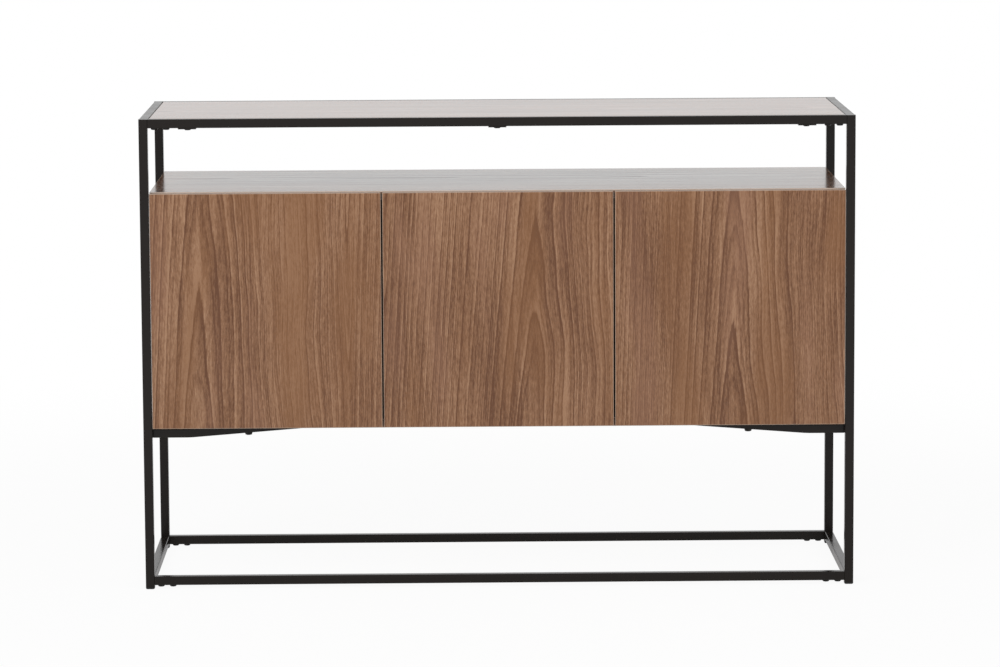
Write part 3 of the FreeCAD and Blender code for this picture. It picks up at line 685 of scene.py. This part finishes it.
class Model:
    """One mesh being shaped, step by step, from a primitive."""

    def __init__(self) -> None:
        """Takes the primitive that was just added and settles it at the origin."""
        self.thing = bpy.context.object
        bpy.ops.object.transform_apply(location=True, rotation=True, scale=True)

    @classmethod
    def cylinder(cls, sides: int, radius: float, low: float, high: float) -> "Model":
        """Starts from an upright cylinder on the Z axis.

        Args:
            sides: How many sides it has.
            radius: Its radius.
            low: Where it starts.
            high: Where it ends.

        Returns:
            The piece under work.
        """
        bpy.ops.object.select_all(action="DESELECT")
        bpy.ops.mesh.primitive_cylinder_add(vertices=sides, radius=radius, depth=high - low,
                                            location=(0, 0, (low + high) / 2))
        return cls()

    @classmethod
    def block(cls, low: Vector, high: Vector) -> "Model":
        """Starts from a block between two corners.

        Args:
            low: Its lowest corner.
            high: Its highest corner.

        Returns:
            The piece under work.
        """
        bpy.ops.object.select_all(action="DESELECT")
        bpy.ops.mesh.primitive_cube_add(size=1, location=(low + high) / 2, scale=high - low)
        return cls()

    def pick(self, kind: str, rule: Rule) -> None:
        """Goes to edit mode and selects faces or edges.

        Args:
            kind: "FACE" or "EDGE".
            rule: Picks among them.
        """
        bpy.context.view_layer.objects.active = self.thing
        bpy.ops.object.mode_set(mode="EDIT")
        bpy.ops.mesh.select_mode(type=kind)
        bpy.ops.mesh.select_all(action="DESELECT")
        mesh = bmesh.from_edit_mesh(self.thing.data)
        if kind == "FACE":
            for face in mesh.faces:
                face.select_set(rule(face.calc_center_median(), face.normal))
        else:
            for edge in mesh.edges:
                first, last = (corner.co for corner in edge.verts)
                edge.select_set(rule((first + last) / 2, (last - first).normalized()))
        bmesh.update_edit_mesh(self.thing.data)

    def inset(self, rule: Rule, width: float, depth: float = 0.0) -> None:
        """Insets the faces that a rule picks.

        Args:
            rule: Picks the faces.
            width: How far their outline moves in.
            depth: How far the inner face is raised.
        """
        self.pick("FACE", rule)
        bpy.ops.mesh.inset(thickness=width, depth=depth)
        bpy.ops.object.mode_set(mode="OBJECT")

    def extrude(self, rule: Rule, move: Vector, taper: float = 1.0) -> None:
        """Extrudes the faces that a rule picks.

        Args:
            rule: Picks the faces.
            move: Where the new faces go.
            taper: How much the new faces shrink.
        """
        self.pick("FACE", rule)
        bpy.ops.mesh.extrude_region_move(TRANSFORM_OT_translate={"value": move})
        bpy.ops.transform.resize(value=(taper, taper, taper))
        bpy.ops.object.mode_set(mode="OBJECT")

    def bevel(self, rule: Rule, width: float, segments: int = 2) -> None:
        """Rounds the edges that a rule picks.

        Args:
            rule: Picks the edges.
            width: How wide the rounding is.
            segments: How many faces it has.
        """
        self.pick("EDGE", rule)
        bpy.ops.mesh.bevel(offset=width, segments=segments, affect="EDGES")
        bpy.ops.object.mode_set(mode="OBJECT")

    def socket(self, level: float, depth: float, radius: float, recess: Recess) -> None:
        """Sinks a socket into the flat cap that faces up at a level.

        Args:
            level: The cap's height.
            depth: How deep the socket is.
            radius: Half its size over the corners.
            recess: Its outline.
        """
        corners, pinch = recess.value
        self.pick("FACE", lambda middle, way: facing_up(middle, way) and
                  at_level(level)(middle, way))
        bpy.ops.mesh.delete(type="ONLY_FACE")
        step = math.tau / corners
        bpy.ops.mesh.select_mode(type="EDGE")
        bpy.ops.mesh.primitive_circle_add(vertices=corners, radius=radius, fill_type="NOTHING",
                                          location=(0, 0, level), rotation=(0, 0, step / 2))
        mesh = bmesh.from_edit_mesh(self.thing.data)
        ring = [corner for corner in mesh.verts if corner.select]
        for corner in ring:
            quarter = math.atan2(corner.co.y, corner.co.x) / (math.pi / 2) % 1
            if abs(quarter - 0.5) < 0.1:
                corner.co.xy = corner.co.xy * pinch
        bmesh.update_edit_mesh(self.thing.data)
        bpy.ops.mesh.extrude_region_move(TRANSFORM_OT_translate={"value": (0, 0, -depth)})
        bpy.ops.transform.resize(value=(0.8, 0.8, 1))
        bpy.ops.mesh.edge_face_add()
        bpy.ops.mesh.select_all(action="DESELECT")
        bpy.ops.mesh.select_non_manifold(extend=False)
        bpy.ops.mesh.bridge_edge_loops()
        bpy.ops.object.mode_set(mode="OBJECT")

    def add(self, other: "Model") -> None:
        """Joins another piece to this one."""
        bpy.ops.object.select_all(action="DESELECT")
        other.thing.select_set(True)
        self.thing.select_set(True)
        bpy.context.view_layer.objects.active = self.thing
        bpy.ops.object.join()

    def repeat(self, places: Sequence[tuple[Vector, Vector]]) -> None:
        """Copies the piece to places and joins the copies, in place of the first.

        Args:
            places: For each copy its place and the way that its Z axis faces.
        """
        copies = []
        for spot, way in places:
            bpy.ops.object.select_all(action="DESELECT")
            self.thing.select_set(True)
            bpy.context.view_layer.objects.active = self.thing
            bpy.ops.object.duplicate(linked=False)
            copy = bpy.context.object
            copy.rotation_mode = "QUATERNION"
            copy.rotation_quaternion = UP.rotation_difference(way)
            copy.location = spot
            bpy.ops.object.transform_apply(location=True, rotation=True, scale=True)
            copies.append(copy)
        bpy.data.objects.remove(self.thing)
        bpy.ops.object.select_all(action="DESELECT")
        for copy in copies:
            copy.select_set(True)
        self.thing = copies[0]
        bpy.context.view_layer.objects.active = self.thing
        if len(copies) > 1:
            bpy.ops.object.join()

    def finish(self, name: str, material: bpy.types.Material, slot: str, body: str = "frame",
               replaces: Sequence[str] = ()) -> None:
        """Turns faces outward, smooths gentle edges and hands the piece to the frame.

        Args:
            name: The piece's name.
            material: Its finish.
            slot: The record's material slot that it stands for; not used.
            body: The moving body that it rides on.
            replaces: The plain nodes that it stands in for.
        """
        self.pick("FACE", lambda middle, way: True)
        bpy.ops.mesh.remove_doubles(threshold=0.001 * MM)
        bpy.ops.mesh.normals_make_consistent(inside=False)
        bpy.ops.object.mode_set(mode="OBJECT")
        bpy.ops.object.select_all(action="DESELECT")
        self.thing.select_set(True)
        bpy.ops.object.shade_smooth_by_angle(angle=math.radians(32))
        self.thing.name = name
        self.thing.data.materials.clear()
        self.thing.data.materials.append(material)
        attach(self.thing, body)
        if replaces:
            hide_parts(*replaces)
        report.info("%s modelled, %d faces", name, len(self.thing.data.polygons))


@dataclass
class Screw:
    """A screw along Z: its head above the XY plane and its shank below."""
    head_radius: float
    head_height: float
    shank_radius: float
    shank_length: float
    recess: Recess = Recess.CROSS
    sides: int = 24
    dome_share: float = 0.72
    point_share: float = 0.3
    recess_share: float = 0.42
    recess_depth_share: float = 0.62

    def build(self) -> Model:
        """Models the head with its socket, then draws the shank out of its underside.

        Returns:
            The screw under work.
        """
        screw = Model.cylinder(self.sides, self.head_radius, 0, self.head_height)
        screw.bevel(at_level(self.head_height),
                    min(self.head_height, self.head_radius) * self.dome_share, 4)
        screw.inset(facing_down, self.head_radius - self.shank_radius)
        screw.extrude(centre_down, Vector((0, 0, -self.shank_length)))
        screw.bevel(at_level(-self.shank_length), self.shank_radius * self.point_share, 1)
        screw.socket(self.head_height, self.head_height * self.recess_depth_share,
                     self.head_radius * self.recess_share, self.recess)
        return screw


def dress(material: bpy.types.Material, nodes: Iterable[str]) -> None:
    """Gives CAD nodes a material and reports them.

    Args:
        material: The finish that they get.
        nodes: The nodes' names.
    """
    for name in nodes:
        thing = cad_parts[name]
        if not thing.material_slots:
            thing.data.materials.append(material)
        for slot in thing.material_slots:
            slot.material = material
        report.info("%s dressed in %s", name, material.name)


def mirrored(x: float, y: float) -> list[tuple[float, float]]:
    """The four places that lie alike on both sides of the X and Y axes."""
    return [(side * x, end * y) for side in (-1, 1) for end in (-1, 1)]


@dataclass
class Tubes:
    """The frame: legs, rails, stubs, bent tubes, tabs for the top panel and the weld beads."""
    coat: PowderCoat = PowderCoat()
    bead: float = 0.8 * MM
    bead_length: float = 12 * MM
    sides: int = 10
    ripples: int = 12
    waist: float = 0.72

    def weld(self) -> Model:
        """Models one rippled weld bead along Z.

        Returns:
            The bead under work.
        """
        bead = Model.cylinder(self.sides, self.bead, 0, self.bead_length)
        bead.pick("EDGE", upright)
        bpy.ops.mesh.subdivide(number_cuts=self.ripples * 2 - 1)
        step = self.bead_length / self.ripples
        bead.pick("EDGE", lambda middle, way: level_run(middle, way) and
                  abs(middle.z / step % 1 - 0.5) > 0.45)
        bpy.ops.transform.resize(value=(self.waist, self.waist, 1))
        bpy.ops.object.mode_set(mode="OBJECT")
        return bead

    def weld_places(self) -> list[tuple[Vector, Vector]]:
        """Each bead's start and run: beside and under the short rails' ends, and at the bent tubes."""
        places = []
        for level in ("top", "middle", "bottom"):
            low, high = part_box(f"{level}_rail_right")
            lead = (high.z - low.z - self.bead_length) / 2
            for x, y in mirrored(low.x, high.y):
                places.append((Vector((x, y, low.z + lead)), UP))
                outward = math.copysign(1, x)
                places.append((Vector((x + outward * lead, y, low.z)), Vector((outward, 0, 0))))
        low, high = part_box("wing_right")
        tube = high.z - low.z
        lead = (tube - self.bead_length) / 2
        for inset in (0, tube):
            for x, y in mirrored(high.x, high.y - inset):
                places.append((Vector((x, y, low.z + lead)), UP))
        return places

    def build(self) -> None:
        """Dresses every welded steel piece and lays the beads."""
        names = [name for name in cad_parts
                 if name.startswith(("leg_", "top_rail", "bottom_rail", "middle_rail", "wing_left",
                                     "wing_right", "rail_stubs", "panel_tabs"))]
        finish = self.coat.make()
        dress(finish, sorted(names))
        beads = self.weld()
        beads.repeat(self.weld_places())
        beads.finish("weld_beads", finish, "black_steel")


@dataclass
class Feet:
    """Moulded caps that plug the legs."""
    plate: float = 3 * MM
    plug_inset: float = 1.3 * MM
    corner: float = 1.5 * MM
    rounding: float = 2.4 * MM
    steps: int = 6
    plug_taper: float = 0.97
    hollow_share: float = 0.15

    def build(self) -> None:
        """Models one cap, with its plug, rounded foot and recessed underside, and copies it."""
        low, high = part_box("leg_front_right")
        _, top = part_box("foot_caps")
        half = (high.x - low.x) / 2
        cap = Model.block(Vector((-half, -half, self.rounding)), Vector((half, half, self.plate)))
        cap.bevel(upright, self.corner, 4)
        reach = half
        turn = math.pi / 2 / self.steps
        for step in range(1, self.steps + 1):
            drop = self.rounding * (math.sin(step * turn) - math.sin(step * turn - turn))
            inner = half - self.rounding * (1 - math.cos(step * turn))
            cap.extrude(centre_down, Vector((0, 0, -drop)), inner / reach)
            reach = inner
        cap.inset(facing_up, self.plug_inset)
        cap.extrude(centre_up, Vector((0, 0, top.z - self.plate)), self.plug_taper)
        cap.inset(centre_down, half * self.hollow_share, -self.plate * self.hollow_share)
        cap.repeat([(Vector((x, y, 0)), UP) for x, y in mirrored(high.x - half, low.y + half)])
        cap.finish("moulded_feet", Plastic("foot_plastic", srgb(24, 24, 23), 0.55).make(),
                   "foot_plastic", replaces=["foot_caps"])


@dataclass
class FrameScrews:
    """Button heads under the rails, pan heads under the tabs, hexagon bolts under the bent tubes."""
    head: float = 5.75 * MM
    head_height: float = 3 * MM
    rail_pitch: float = 20 * MM
    rail_shank: float = 3 * MM
    tab_shank: float = 2 * MM
    washer: float = 6.5 * MM
    washer_sheet: float = 1.6 * MM
    washer_edge_share: float = 0.15
    hexagon: float = 5.8 * MM
    hexagon_height: float = 2.7 * MM
    slope_share: float = 0.2
    crown_share: float = 0.14
    dish_share: float = 0.06
    dish_depth_share: float = 0.08
    point_share: float = 0.25

    def rails(self, finish: bpy.types.Material) -> None:
        """Models the screws that hold the long rails to their stubs."""
        _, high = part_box("rail_screws")
        undersides = [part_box(f"{level}_rail_front")[0].z for level in ("top", "bottom")]
        screw = Screw(self.head, self.head_height, self.rail_shank, high.z - undersides[0],
                      Recess.HEX).build()
        outer = high.x - self.head
        screw.repeat([(Vector((x, y, z)), DOWN) for z in undersides
                      for column in (outer, outer - self.rail_pitch)
                      for x, y in mirrored(column, high.y - self.head)])
        screw.finish("button_screws", finish, "black_screws", replaces=["rail_screws"])

    def tabs(self, finish: bpy.types.Material) -> None:
        """Models the screws that go through the tabs into the top panel."""
        _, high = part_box("tab_screws")
        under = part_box("panel_tabs")[0].z
        screw = Screw(self.head, self.head_height, self.tab_shank, high.z - under).build()
        outer = high.x - self.head
        screw.repeat([(Vector((column, end * (high.y - self.head), under)), DOWN)
                      for column in (-outer, 0, outer) for end in (-1, 1)])
        screw.finish("pan_screws", finish, "black_screws", replaces=["tab_screws"])

    def bolts(self, finish: bpy.types.Material) -> None:
        """Models the hexagon bolts and washers that hold the cabinet on the bent tubes."""
        _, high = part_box("wing_screws")
        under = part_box("wing_right")[0].z
        bolt = Model.cylinder(32, self.washer, 0, self.washer_sheet)
        bolt.bevel(level_run, self.washer_sheet * self.washer_edge_share)
        top = self.washer_sheet + self.hexagon_height
        head = Model.cylinder(6, self.hexagon, self.washer_sheet, top)
        head.bevel(at_level(top), self.hexagon * self.slope_share, 3)
        head.inset(facing_up, self.hexagon * self.crown_share)
        head.inset(centre_up, self.hexagon * self.dish_share,
                   -self.hexagon_height * self.dish_depth_share)
        shank = Model.cylinder(24, self.rail_shank, under - high.z, 0)
        shank.bevel(at_level(under - high.z), self.rail_shank * self.point_share, 1)
        bolt.add(head)
        bolt.add(shank)
        bolt.repeat([(Vector((x, y, under)), DOWN)
                     for x, y in mirrored(high.x - self.washer, high.y - self.washer)])
        bolt.finish("hexagon_bolts", finish, "black_screws", replaces=["wing_screws"])

    def build(self) -> None:
        """Models all the frame's screws in one black finish."""
        finish = Plating("black_zinc", srgb(40, 39, 38), 0.36, 0.8, (700, 700, 700)).make()
        self.rails(finish)
        self.tabs(finish)
        self.bolts(finish)


@dataclass
class Boards:
    """Top panel, carcass, shelves, back and doors."""

    def walnut(self, node: str, lay: Lay, seed: float, **settings: Any) -> None:
        """Makes a board's own walnut, with a painted highlight at the arrises of its outline, painted
        shade where the edge colour is dark, and dresses the board.

        Args:
            node: The board's name.
            lay: How its grain lies.
            seed: Which part of the print it shows.
            settings: Other fields of the finish.
        """
        low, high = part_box(node)
        across, deep, along = lay.value
        limits = {"ends": (low[along], high[along]), "sides": (low[across], high[across]),
                  "faces": (low[deep], high[deep])}
        dress(Walnut(f"walnut_{node}", lay, seed, **(limits | settings)).make(), [node])

    def build(self) -> None:
        """Dresses each board in its own piece of the print."""
        # Pale colour for the painted highlight on the cabinet top's upper arrises, where light catches
        # them at a grazing angle, partly a pale edge band.
        pale = srgb(232, 214, 198)
        low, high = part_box("cabinet_top")
        # The top panel's lighter, pinker middle and light tones are partly painted sheen, standing in for
        # the bright grazing reflection on the top.
        self.walnut("top_panel", Lay.FLAT, 11.0, heart=-0.03, climb=3.0, coat=0.5, roughness=0.14,
                    middle=srgb(150, 100, 74), light=srgb(186, 139, 113))
        # Its faces reach as far below it as it is thick, so the painted highlight keeps to the upper
        # arrises.
        self.walnut("cabinet_top", Lay.FLAT, 12.3, heart=0.05, climb=3.0, coat=0.7,
                    roughness=0.22, band=pale, band_share=0.85, band_depth=1.7 * MM,
                    faces=(low.z - high.z + low.z, high.z))
        self.walnut("cabinet_bottom", Lay.FLAT, 13.9, heart=-0.08)
        board = high.z - low.z
        for count, side in enumerate(("left", "right")):
            self.walnut(f"cabinet_side_{side}", Lay.UPRIGHT, 21.0 + count * 1.7, heart=0.02 * count)
            name = f"divider_{side}"
            front, rear = (corner.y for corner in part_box(name))
            # The dividers' front edges are painted dark over their whole thickness: painted shade
            # standing in for the dark gaps between the doors; the sides setting keeps it off the rear
            # edges.
            self.walnut(name, Lay.UPRIGHT, 24.4 + count * 1.7, heart=0.04 * count,
                        band=srgb(68, 48, 35), band_share=1.0, band_depth=board / 2, gloss=0.15,
                        sides=(front, rear + board))
        for count, side in enumerate(SIDES):
            self.walnut(f"shelf_{side}", Lay.FLAT, 31.0 + count * 2.1, heart=0.03 * count)
        self.walnut("door_left", Lay.DOOR, 2.0, heart=-0.503, phase=1.13)
        self.walnut("door_centre", Lay.DOOR, 4.6, heart=0.0435, phase=0.78, lean=0.03)
        self.walnut("door_right", Lay.DOOR, 7.4, heart=0.399, phase=1.12)
        dress(Hardboard().make(), ["cabinet_back"])


@dataclass
class Fittings:
    """Cams, bolts and pins that join the boards and carry the shelves."""
    cam: float = 7.5 * MM
    rim: float = 0.9 * MM
    cover: float = 0.5 * MM
    edge_share: float = 0.5
    floor_share: float = 0.6
    wall_share: float = 0.3
    slot_share: float = 0.56
    slot_depth_share: float = 0.85

    def cam_cover(self) -> Model:
        """Models the rimmed face of a cam, with its recessed ring and cross slot.

        Returns:
            The cover under work.
        """
        cover = Model.cylinder(32, self.cam + self.rim, 0, self.cover)
        cover.bevel(at_level(self.cover), self.cover * self.edge_share)
        cover.inset(centre_up, self.rim)
        floor = self.cover * self.floor_share
        cover.inset(centre_up, self.cover * self.wall_share, floor - self.cover)
        cover.socket(floor, floor * self.slot_depth_share, self.cam * self.slot_share, Recess.CROSS)
        return cover

    def cam_places(self) -> list[tuple[Vector, Vector]]:
        """Where the cams show, on the uprights' inner faces and under the cabinet's floor."""
        low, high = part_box("cam_discs")
        rows = (low.y + self.cam, high.y - self.cam)
        upper = high.z - self.cam
        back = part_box("cabinet_top")[0].z - upper
        floor_low, floor_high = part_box("cabinet_bottom")
        lower = floor_high.z + back
        side_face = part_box("cabinet_side_right")[0].x
        divider_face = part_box("divider_right")[1].x
        places = []
        for y in rows:
            for side in (-1, 1):
                places.append((Vector((side * side_face, y, upper)), Vector((-side, 0, 0))))
                places.append((Vector((side * (side_face - back), y, floor_low.z)), DOWN))
                for z in (upper, lower):
                    places.append((Vector((side * divider_face, y, z)), Vector((side, 0, 0))))
        return places

    def build(self, bright: bpy.types.Material) -> None:
        """Dresses the hidden fittings and models the cams' faces."""
        dress(bright, ["cam_discs", "cam_bolts", "shelf_pins"])
        covers = self.cam_cover()
        covers.repeat(self.cam_places())
        covers.finish("cam_faces", bright, "bright_steel")


@dataclass
class Hinges:
    """Concealed hinges: pressed cups, links, arms and plates with their screws."""
    screw_head: float = 3.4 * MM
    screw_height: float = 1.8 * MM
    screw_shank: float = 1.7 * MM
    cup_bite: float = 9 * MM
    plate_bite: float = 12 * MM
    cup_screw_half: float = 24 * MM
    plate_screw_half: float = 16 * MM
    plate_sheet: float = 2 * MM
    arm_top: float = 22 * MM
    arm_front: float = 24.5 * MM
    adjuster: float = 3.1 * MM
    adjuster_height: float = 1.1 * MM
    adjuster_runs: tuple[float, float] = (11 * MM, 44 * MM)

    def screws(self, bite: float) -> Model:
        """One cross-head wood screw of a given grip."""
        return Screw(self.screw_head, self.screw_height, self.screw_shank, bite).build()

    def door(self, side: str, bright: bpy.types.Material) -> tuple[list[float], float]:
        """Dresses one door's cups and links and models its cup screws.

        Args:
            side: The door's side.
            bright: The plated finish.

        Returns:
            The two hinges' levels and the X of the door's hinge edge.
        """
        dress(bright, [f"hinge_cups_{side}", f"hinge_links_{side}", f"strike_plate_{side}"])
        low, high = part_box(f"cup_screws_{side}")
        reach = self.screw_head + self.cup_screw_half
        levels = [low.z + reach, high.z - reach]
        back = high.y - self.screw_height
        screws = self.screws(self.cup_bite)
        screws.repeat([(Vector(((low.x + high.x) / 2, back, level + half * self.cup_screw_half)),
                        Vector((0, 1, 0))) for level in levels for half in (-1, 1)])
        screws.finish(f"cup_heads_{side}", bright, "bright_steel", f"door_{side}",
                      [f"cup_screws_{side}"])
        door_low, door_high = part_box(f"door_{side}")
        return levels, (door_high.x if side == "right" else door_low.x)

    def build(self, bright: bpy.types.Material) -> None:
        """Builds the hinges of all three doors."""
        dress(bright, ["hinge_arms", "hinge_plates_outer", "hinge_plates_centre"])
        plate_low, plate_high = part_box("hinge_plates_centre")
        middle = (plate_low.y + plate_high.y) / 2
        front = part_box("door_left")[0].y
        faces = {"left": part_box("cabinet_side_left")[1].x, "centre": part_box("divider_left")[1].x,
                 "right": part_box("cabinet_side_right")[0].x}
        plate_spots = []
        arm_spots = []
        for side in SIDES:
            levels, edge = self.door(side, bright)
            way = Vector((-1 if side == "right" else 1, 0, 0))
            for level in levels:
                for half in (-1, 1):
                    face = faces[side] + way.x * self.plate_sheet
                    height = level + half * self.plate_screw_half
                    plate_spots.append((Vector((face, middle, height)), way))
                for run in self.adjuster_runs:
                    arm_face = edge + way.x * self.arm_top
                    arm_spots.append((Vector((arm_face, front + self.arm_front + run, level)), way))
        plate_screws = self.screws(self.plate_bite)
        plate_screws.repeat(plate_spots)
        plate_screws.finish("plate_heads", bright, "bright_steel", replaces=["plate_screws"])
        adjusters = Screw(self.adjuster, self.adjuster_height, self.screw_shank, self.plate_sheet).build()
        adjusters.repeat(arm_spots)
        adjusters.finish("hinge_adjusters", bright, "bright_steel")


@dataclass
class Latches:
    """Push latches under the cabinet's top: panelled housings with collars, and plungers."""
    width: float = 18 * MM
    rounding: float = 1 * MM
    bore: float = 4.05 * MM
    bore_depth: float = 32 * MM
    collar: float = 5.6 * MM
    collar_reach: float = 1.2 * MM
    collar_taper: float = 0.96
    margin_share: float = 0.22
    panel_wall_share: float = 0.04
    panel_depth_share: float = 0.4

    def housing(self, height: float, length: float) -> Model:
        """Models one housing: the plunger's mouth at the origin, its length along -Z.

        Args:
            height: The housing's height, along Y.
            length: Its length.

        Returns:
            The housing under work.
        """
        half = self.width / 2
        housing = Model.block(Vector((-half, -height / 2, -length)), Vector((half, height / 2, 0)))
        housing.bevel(lambda middle, way: upright(middle, way) and middle.y < 0, self.rounding, 3)
        for side in (-1, 1):
            housing.inset(lambda middle, way: way.x * side > ALONG, height * self.margin_share)
            housing.inset(lambda middle, way: way.x * side > ALONG and
                          abs(middle.z + length / 2) < NEAR and abs(middle.y) < height * 0.1,
                          height * self.panel_wall_share, -self.rounding * self.panel_depth_share)
        housing.pick("FACE", facing_up)
        bpy.ops.mesh.delete(type="ONLY_FACE")
        bpy.ops.mesh.select_mode(type="EDGE")
        bpy.ops.mesh.primitive_circle_add(vertices=32, radius=self.collar, fill_type="NOTHING")
        bpy.ops.mesh.select_non_manifold(extend=False)
        bpy.ops.mesh.bridge_edge_loops()
        mouth = self.collar * self.collar_taper
        for move, scale in ((self.collar_reach, self.collar_taper), (0, self.bore / mouth),
                            (-self.bore_depth, 1.0)):
            bpy.ops.mesh.select_all(action="DESELECT")
            bpy.ops.mesh.select_non_manifold(extend=False)
            bpy.ops.mesh.extrude_region_move(TRANSFORM_OT_translate={"value": (0, 0, move)})
            bpy.ops.transform.resize(value=(scale, scale, 1))
        bpy.ops.mesh.edge_face_add()
        bpy.ops.object.mode_set(mode="OBJECT")
        return housing

    def build(self) -> None:
        """Builds the three latches and dresses their plungers."""
        low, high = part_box("latch_bodies")
        front = Vector((0, -1, 0))
        height = high.z - low.z
        spots = []
        for side in SIDES:
            tip_low, tip_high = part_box(f"latch_plunger_{side}")
            x = (tip_low.x + tip_high.x) / 2
            spots.append(Vector((x, low.y, (low.z + high.z) / 2)))
        housings = self.housing(height, high.y - low.y)
        housings.repeat([(spot, front) for spot in spots])
        housings.finish("latch_housings", Plastic("latch_case", srgb(176, 175, 171)).make(),
                        "latch_grey", replaces=["latch_bodies"])
        dress(Plastic("latch_tip", srgb(122, 122, 121), 0.42).make(),
              [f"latch_plunger_{side}" for side in SIDES])


@dataclass
class Studio:
    """The camera, the pale floor and the soft lamps."""
    place: Vector = Vector((-0.0765, -7.2814, 1.3684))
    yaw: float = math.radians(0.639)
    pitch: float = math.radians(7.521)
    roll: float = math.radians(-0.313)
    lens: float = 152.8
    sensor: float = 36.0
    reach: float = 200.0
    ambient: float = 0.62
    floor_radius: float = 40.0
    floor_shade: Colour = (0.86, 0.86, 0.86)
    glow: float = 0.94
    mirrored_glow: float = 0.4
    mirrored_gain: float = 0.5
    melt: tuple[float, float] = (0.9, 2.6)
    lamp_size: float = 2.4
    aim: Vector = Vector((0, 0, 0.45))

    def camera(self) -> None:
        """Puts the camera where the photograph was taken from."""
        forward = Vector((math.sin(self.yaw) * math.cos(self.pitch),
                          math.cos(self.yaw) * math.cos(self.pitch), -math.sin(self.pitch)))
        level = Vector((math.cos(self.yaw), -math.sin(self.yaw), 0))
        upright = level.cross(forward)
        right = level * math.cos(self.roll) + upright * math.sin(self.roll)
        up = upright * math.cos(self.roll) - level * math.sin(self.roll)
        data = bpy.data.cameras.new("camera")
        data.lens = self.lens
        data.sensor_width = self.sensor
        data.clip_end = self.reach
        camera = bpy.data.objects.new("camera", data)
        bpy.context.scene.collection.objects.link(camera)
        turn = Matrix((right, up, -forward)).transposed().to_4x4()
        camera.matrix_world = Matrix.Translation(self.place) @ turn
        bpy.context.scene.camera = camera

    def world(self) -> None:
        """White for the camera and in reflections, softer as a light."""
        world = bpy.data.worlds.new("studio")
        bpy.context.scene.world = world
        tree = Tree(world)
        strength = tree.rays("Camera", "Glossy", "Transmission") * (1 - self.ambient) + self.ambient
        background = tree.node("ShaderNodeBackground", {}, {"Strength": strength})
        tree.node("ShaderNodeOutputWorld", {}, {"Surface": background.outputs[0]})

    def floor(self) -> None:
        """A wide pale floor that melts into the white and keeps the object's shadow."""
        bpy.ops.object.select_all(action="DESELECT")
        bpy.ops.mesh.primitive_circle_add(vertices=96, radius=self.floor_radius, fill_type="NGON")
        floor = bpy.context.object
        floor.name = "floor"
        tree = Surface("studio_floor")
        x, y, _ = tree.place()
        away = (x * x + y * y).root().rise(*self.melt)
        glow = tree.node("ShaderNodeEmission", {}, {"Color": (1.0, 1.0, 1.0), "Strength": 1.0})
        matt = tree.node("ShaderNodeBsdfDiffuse", {}, {"Color": self.floor_shade})
        share = (tree.rays("Camera", "Transmission") * (away * (1 - self.glow) + self.glow)
                 + tree.rays("Glossy") * (away * self.mirrored_gain + self.mirrored_glow))
        mixed = tree.node("ShaderNodeMixShader", {}, {0: share, 1: matt.outputs[0],
                                                      2: glow.outputs[0]})
        tree.links.new(mixed.outputs[0], tree.output.inputs["Surface"])
        floor.data.materials.append(tree.material)

    def lamp(self, name: str, place: Vector, power: float) -> None:
        """Adds a square soft lamp that points at the sideboard.

        Args:
            name: The lamp's name.
            place: Where it stands.
            power: Its watts.
        """
        data = bpy.data.lights.new(name, "AREA")
        data.shape = "SQUARE"
        data.size = self.lamp_size
        data.energy = power
        lamp = bpy.data.objects.new(name, data)
        bpy.context.scene.collection.objects.link(lamp)
        lamp.visible_glossy = False
        lamp.rotation_euler = (self.aim - place).to_track_quat("-Z", "Y").to_euler()
        lamp.location = place

    def build(self) -> None:
        """Sets up the whole studio."""
        self.camera()
        self.world()
        self.floor()
        self.lamp("key", Vector((-2.2, -3.6, 3.4)), 95)
        self.lamp("fill", Vector((3.0, -3.2, 2.2)), 45)
        bpy.context.scene.view_settings.view_transform = "Standard"
        report.info("studio ready")


def main() -> None:
    """Builds the sub-assemblies in order."""
    logging.basicConfig(level=logging.INFO, format="%(message)s")
    Studio().build()
    bright = Plating("nickel", srgb(222, 220, 215), 0.3).make()
    Tubes().build()
    Feet().build()
    FrameScrews().build()
    Boards().build()
    Fittings().build(bright)
    Hinges().build(bright)
    Latches().build()


if __name__ == "__main__":
    main()
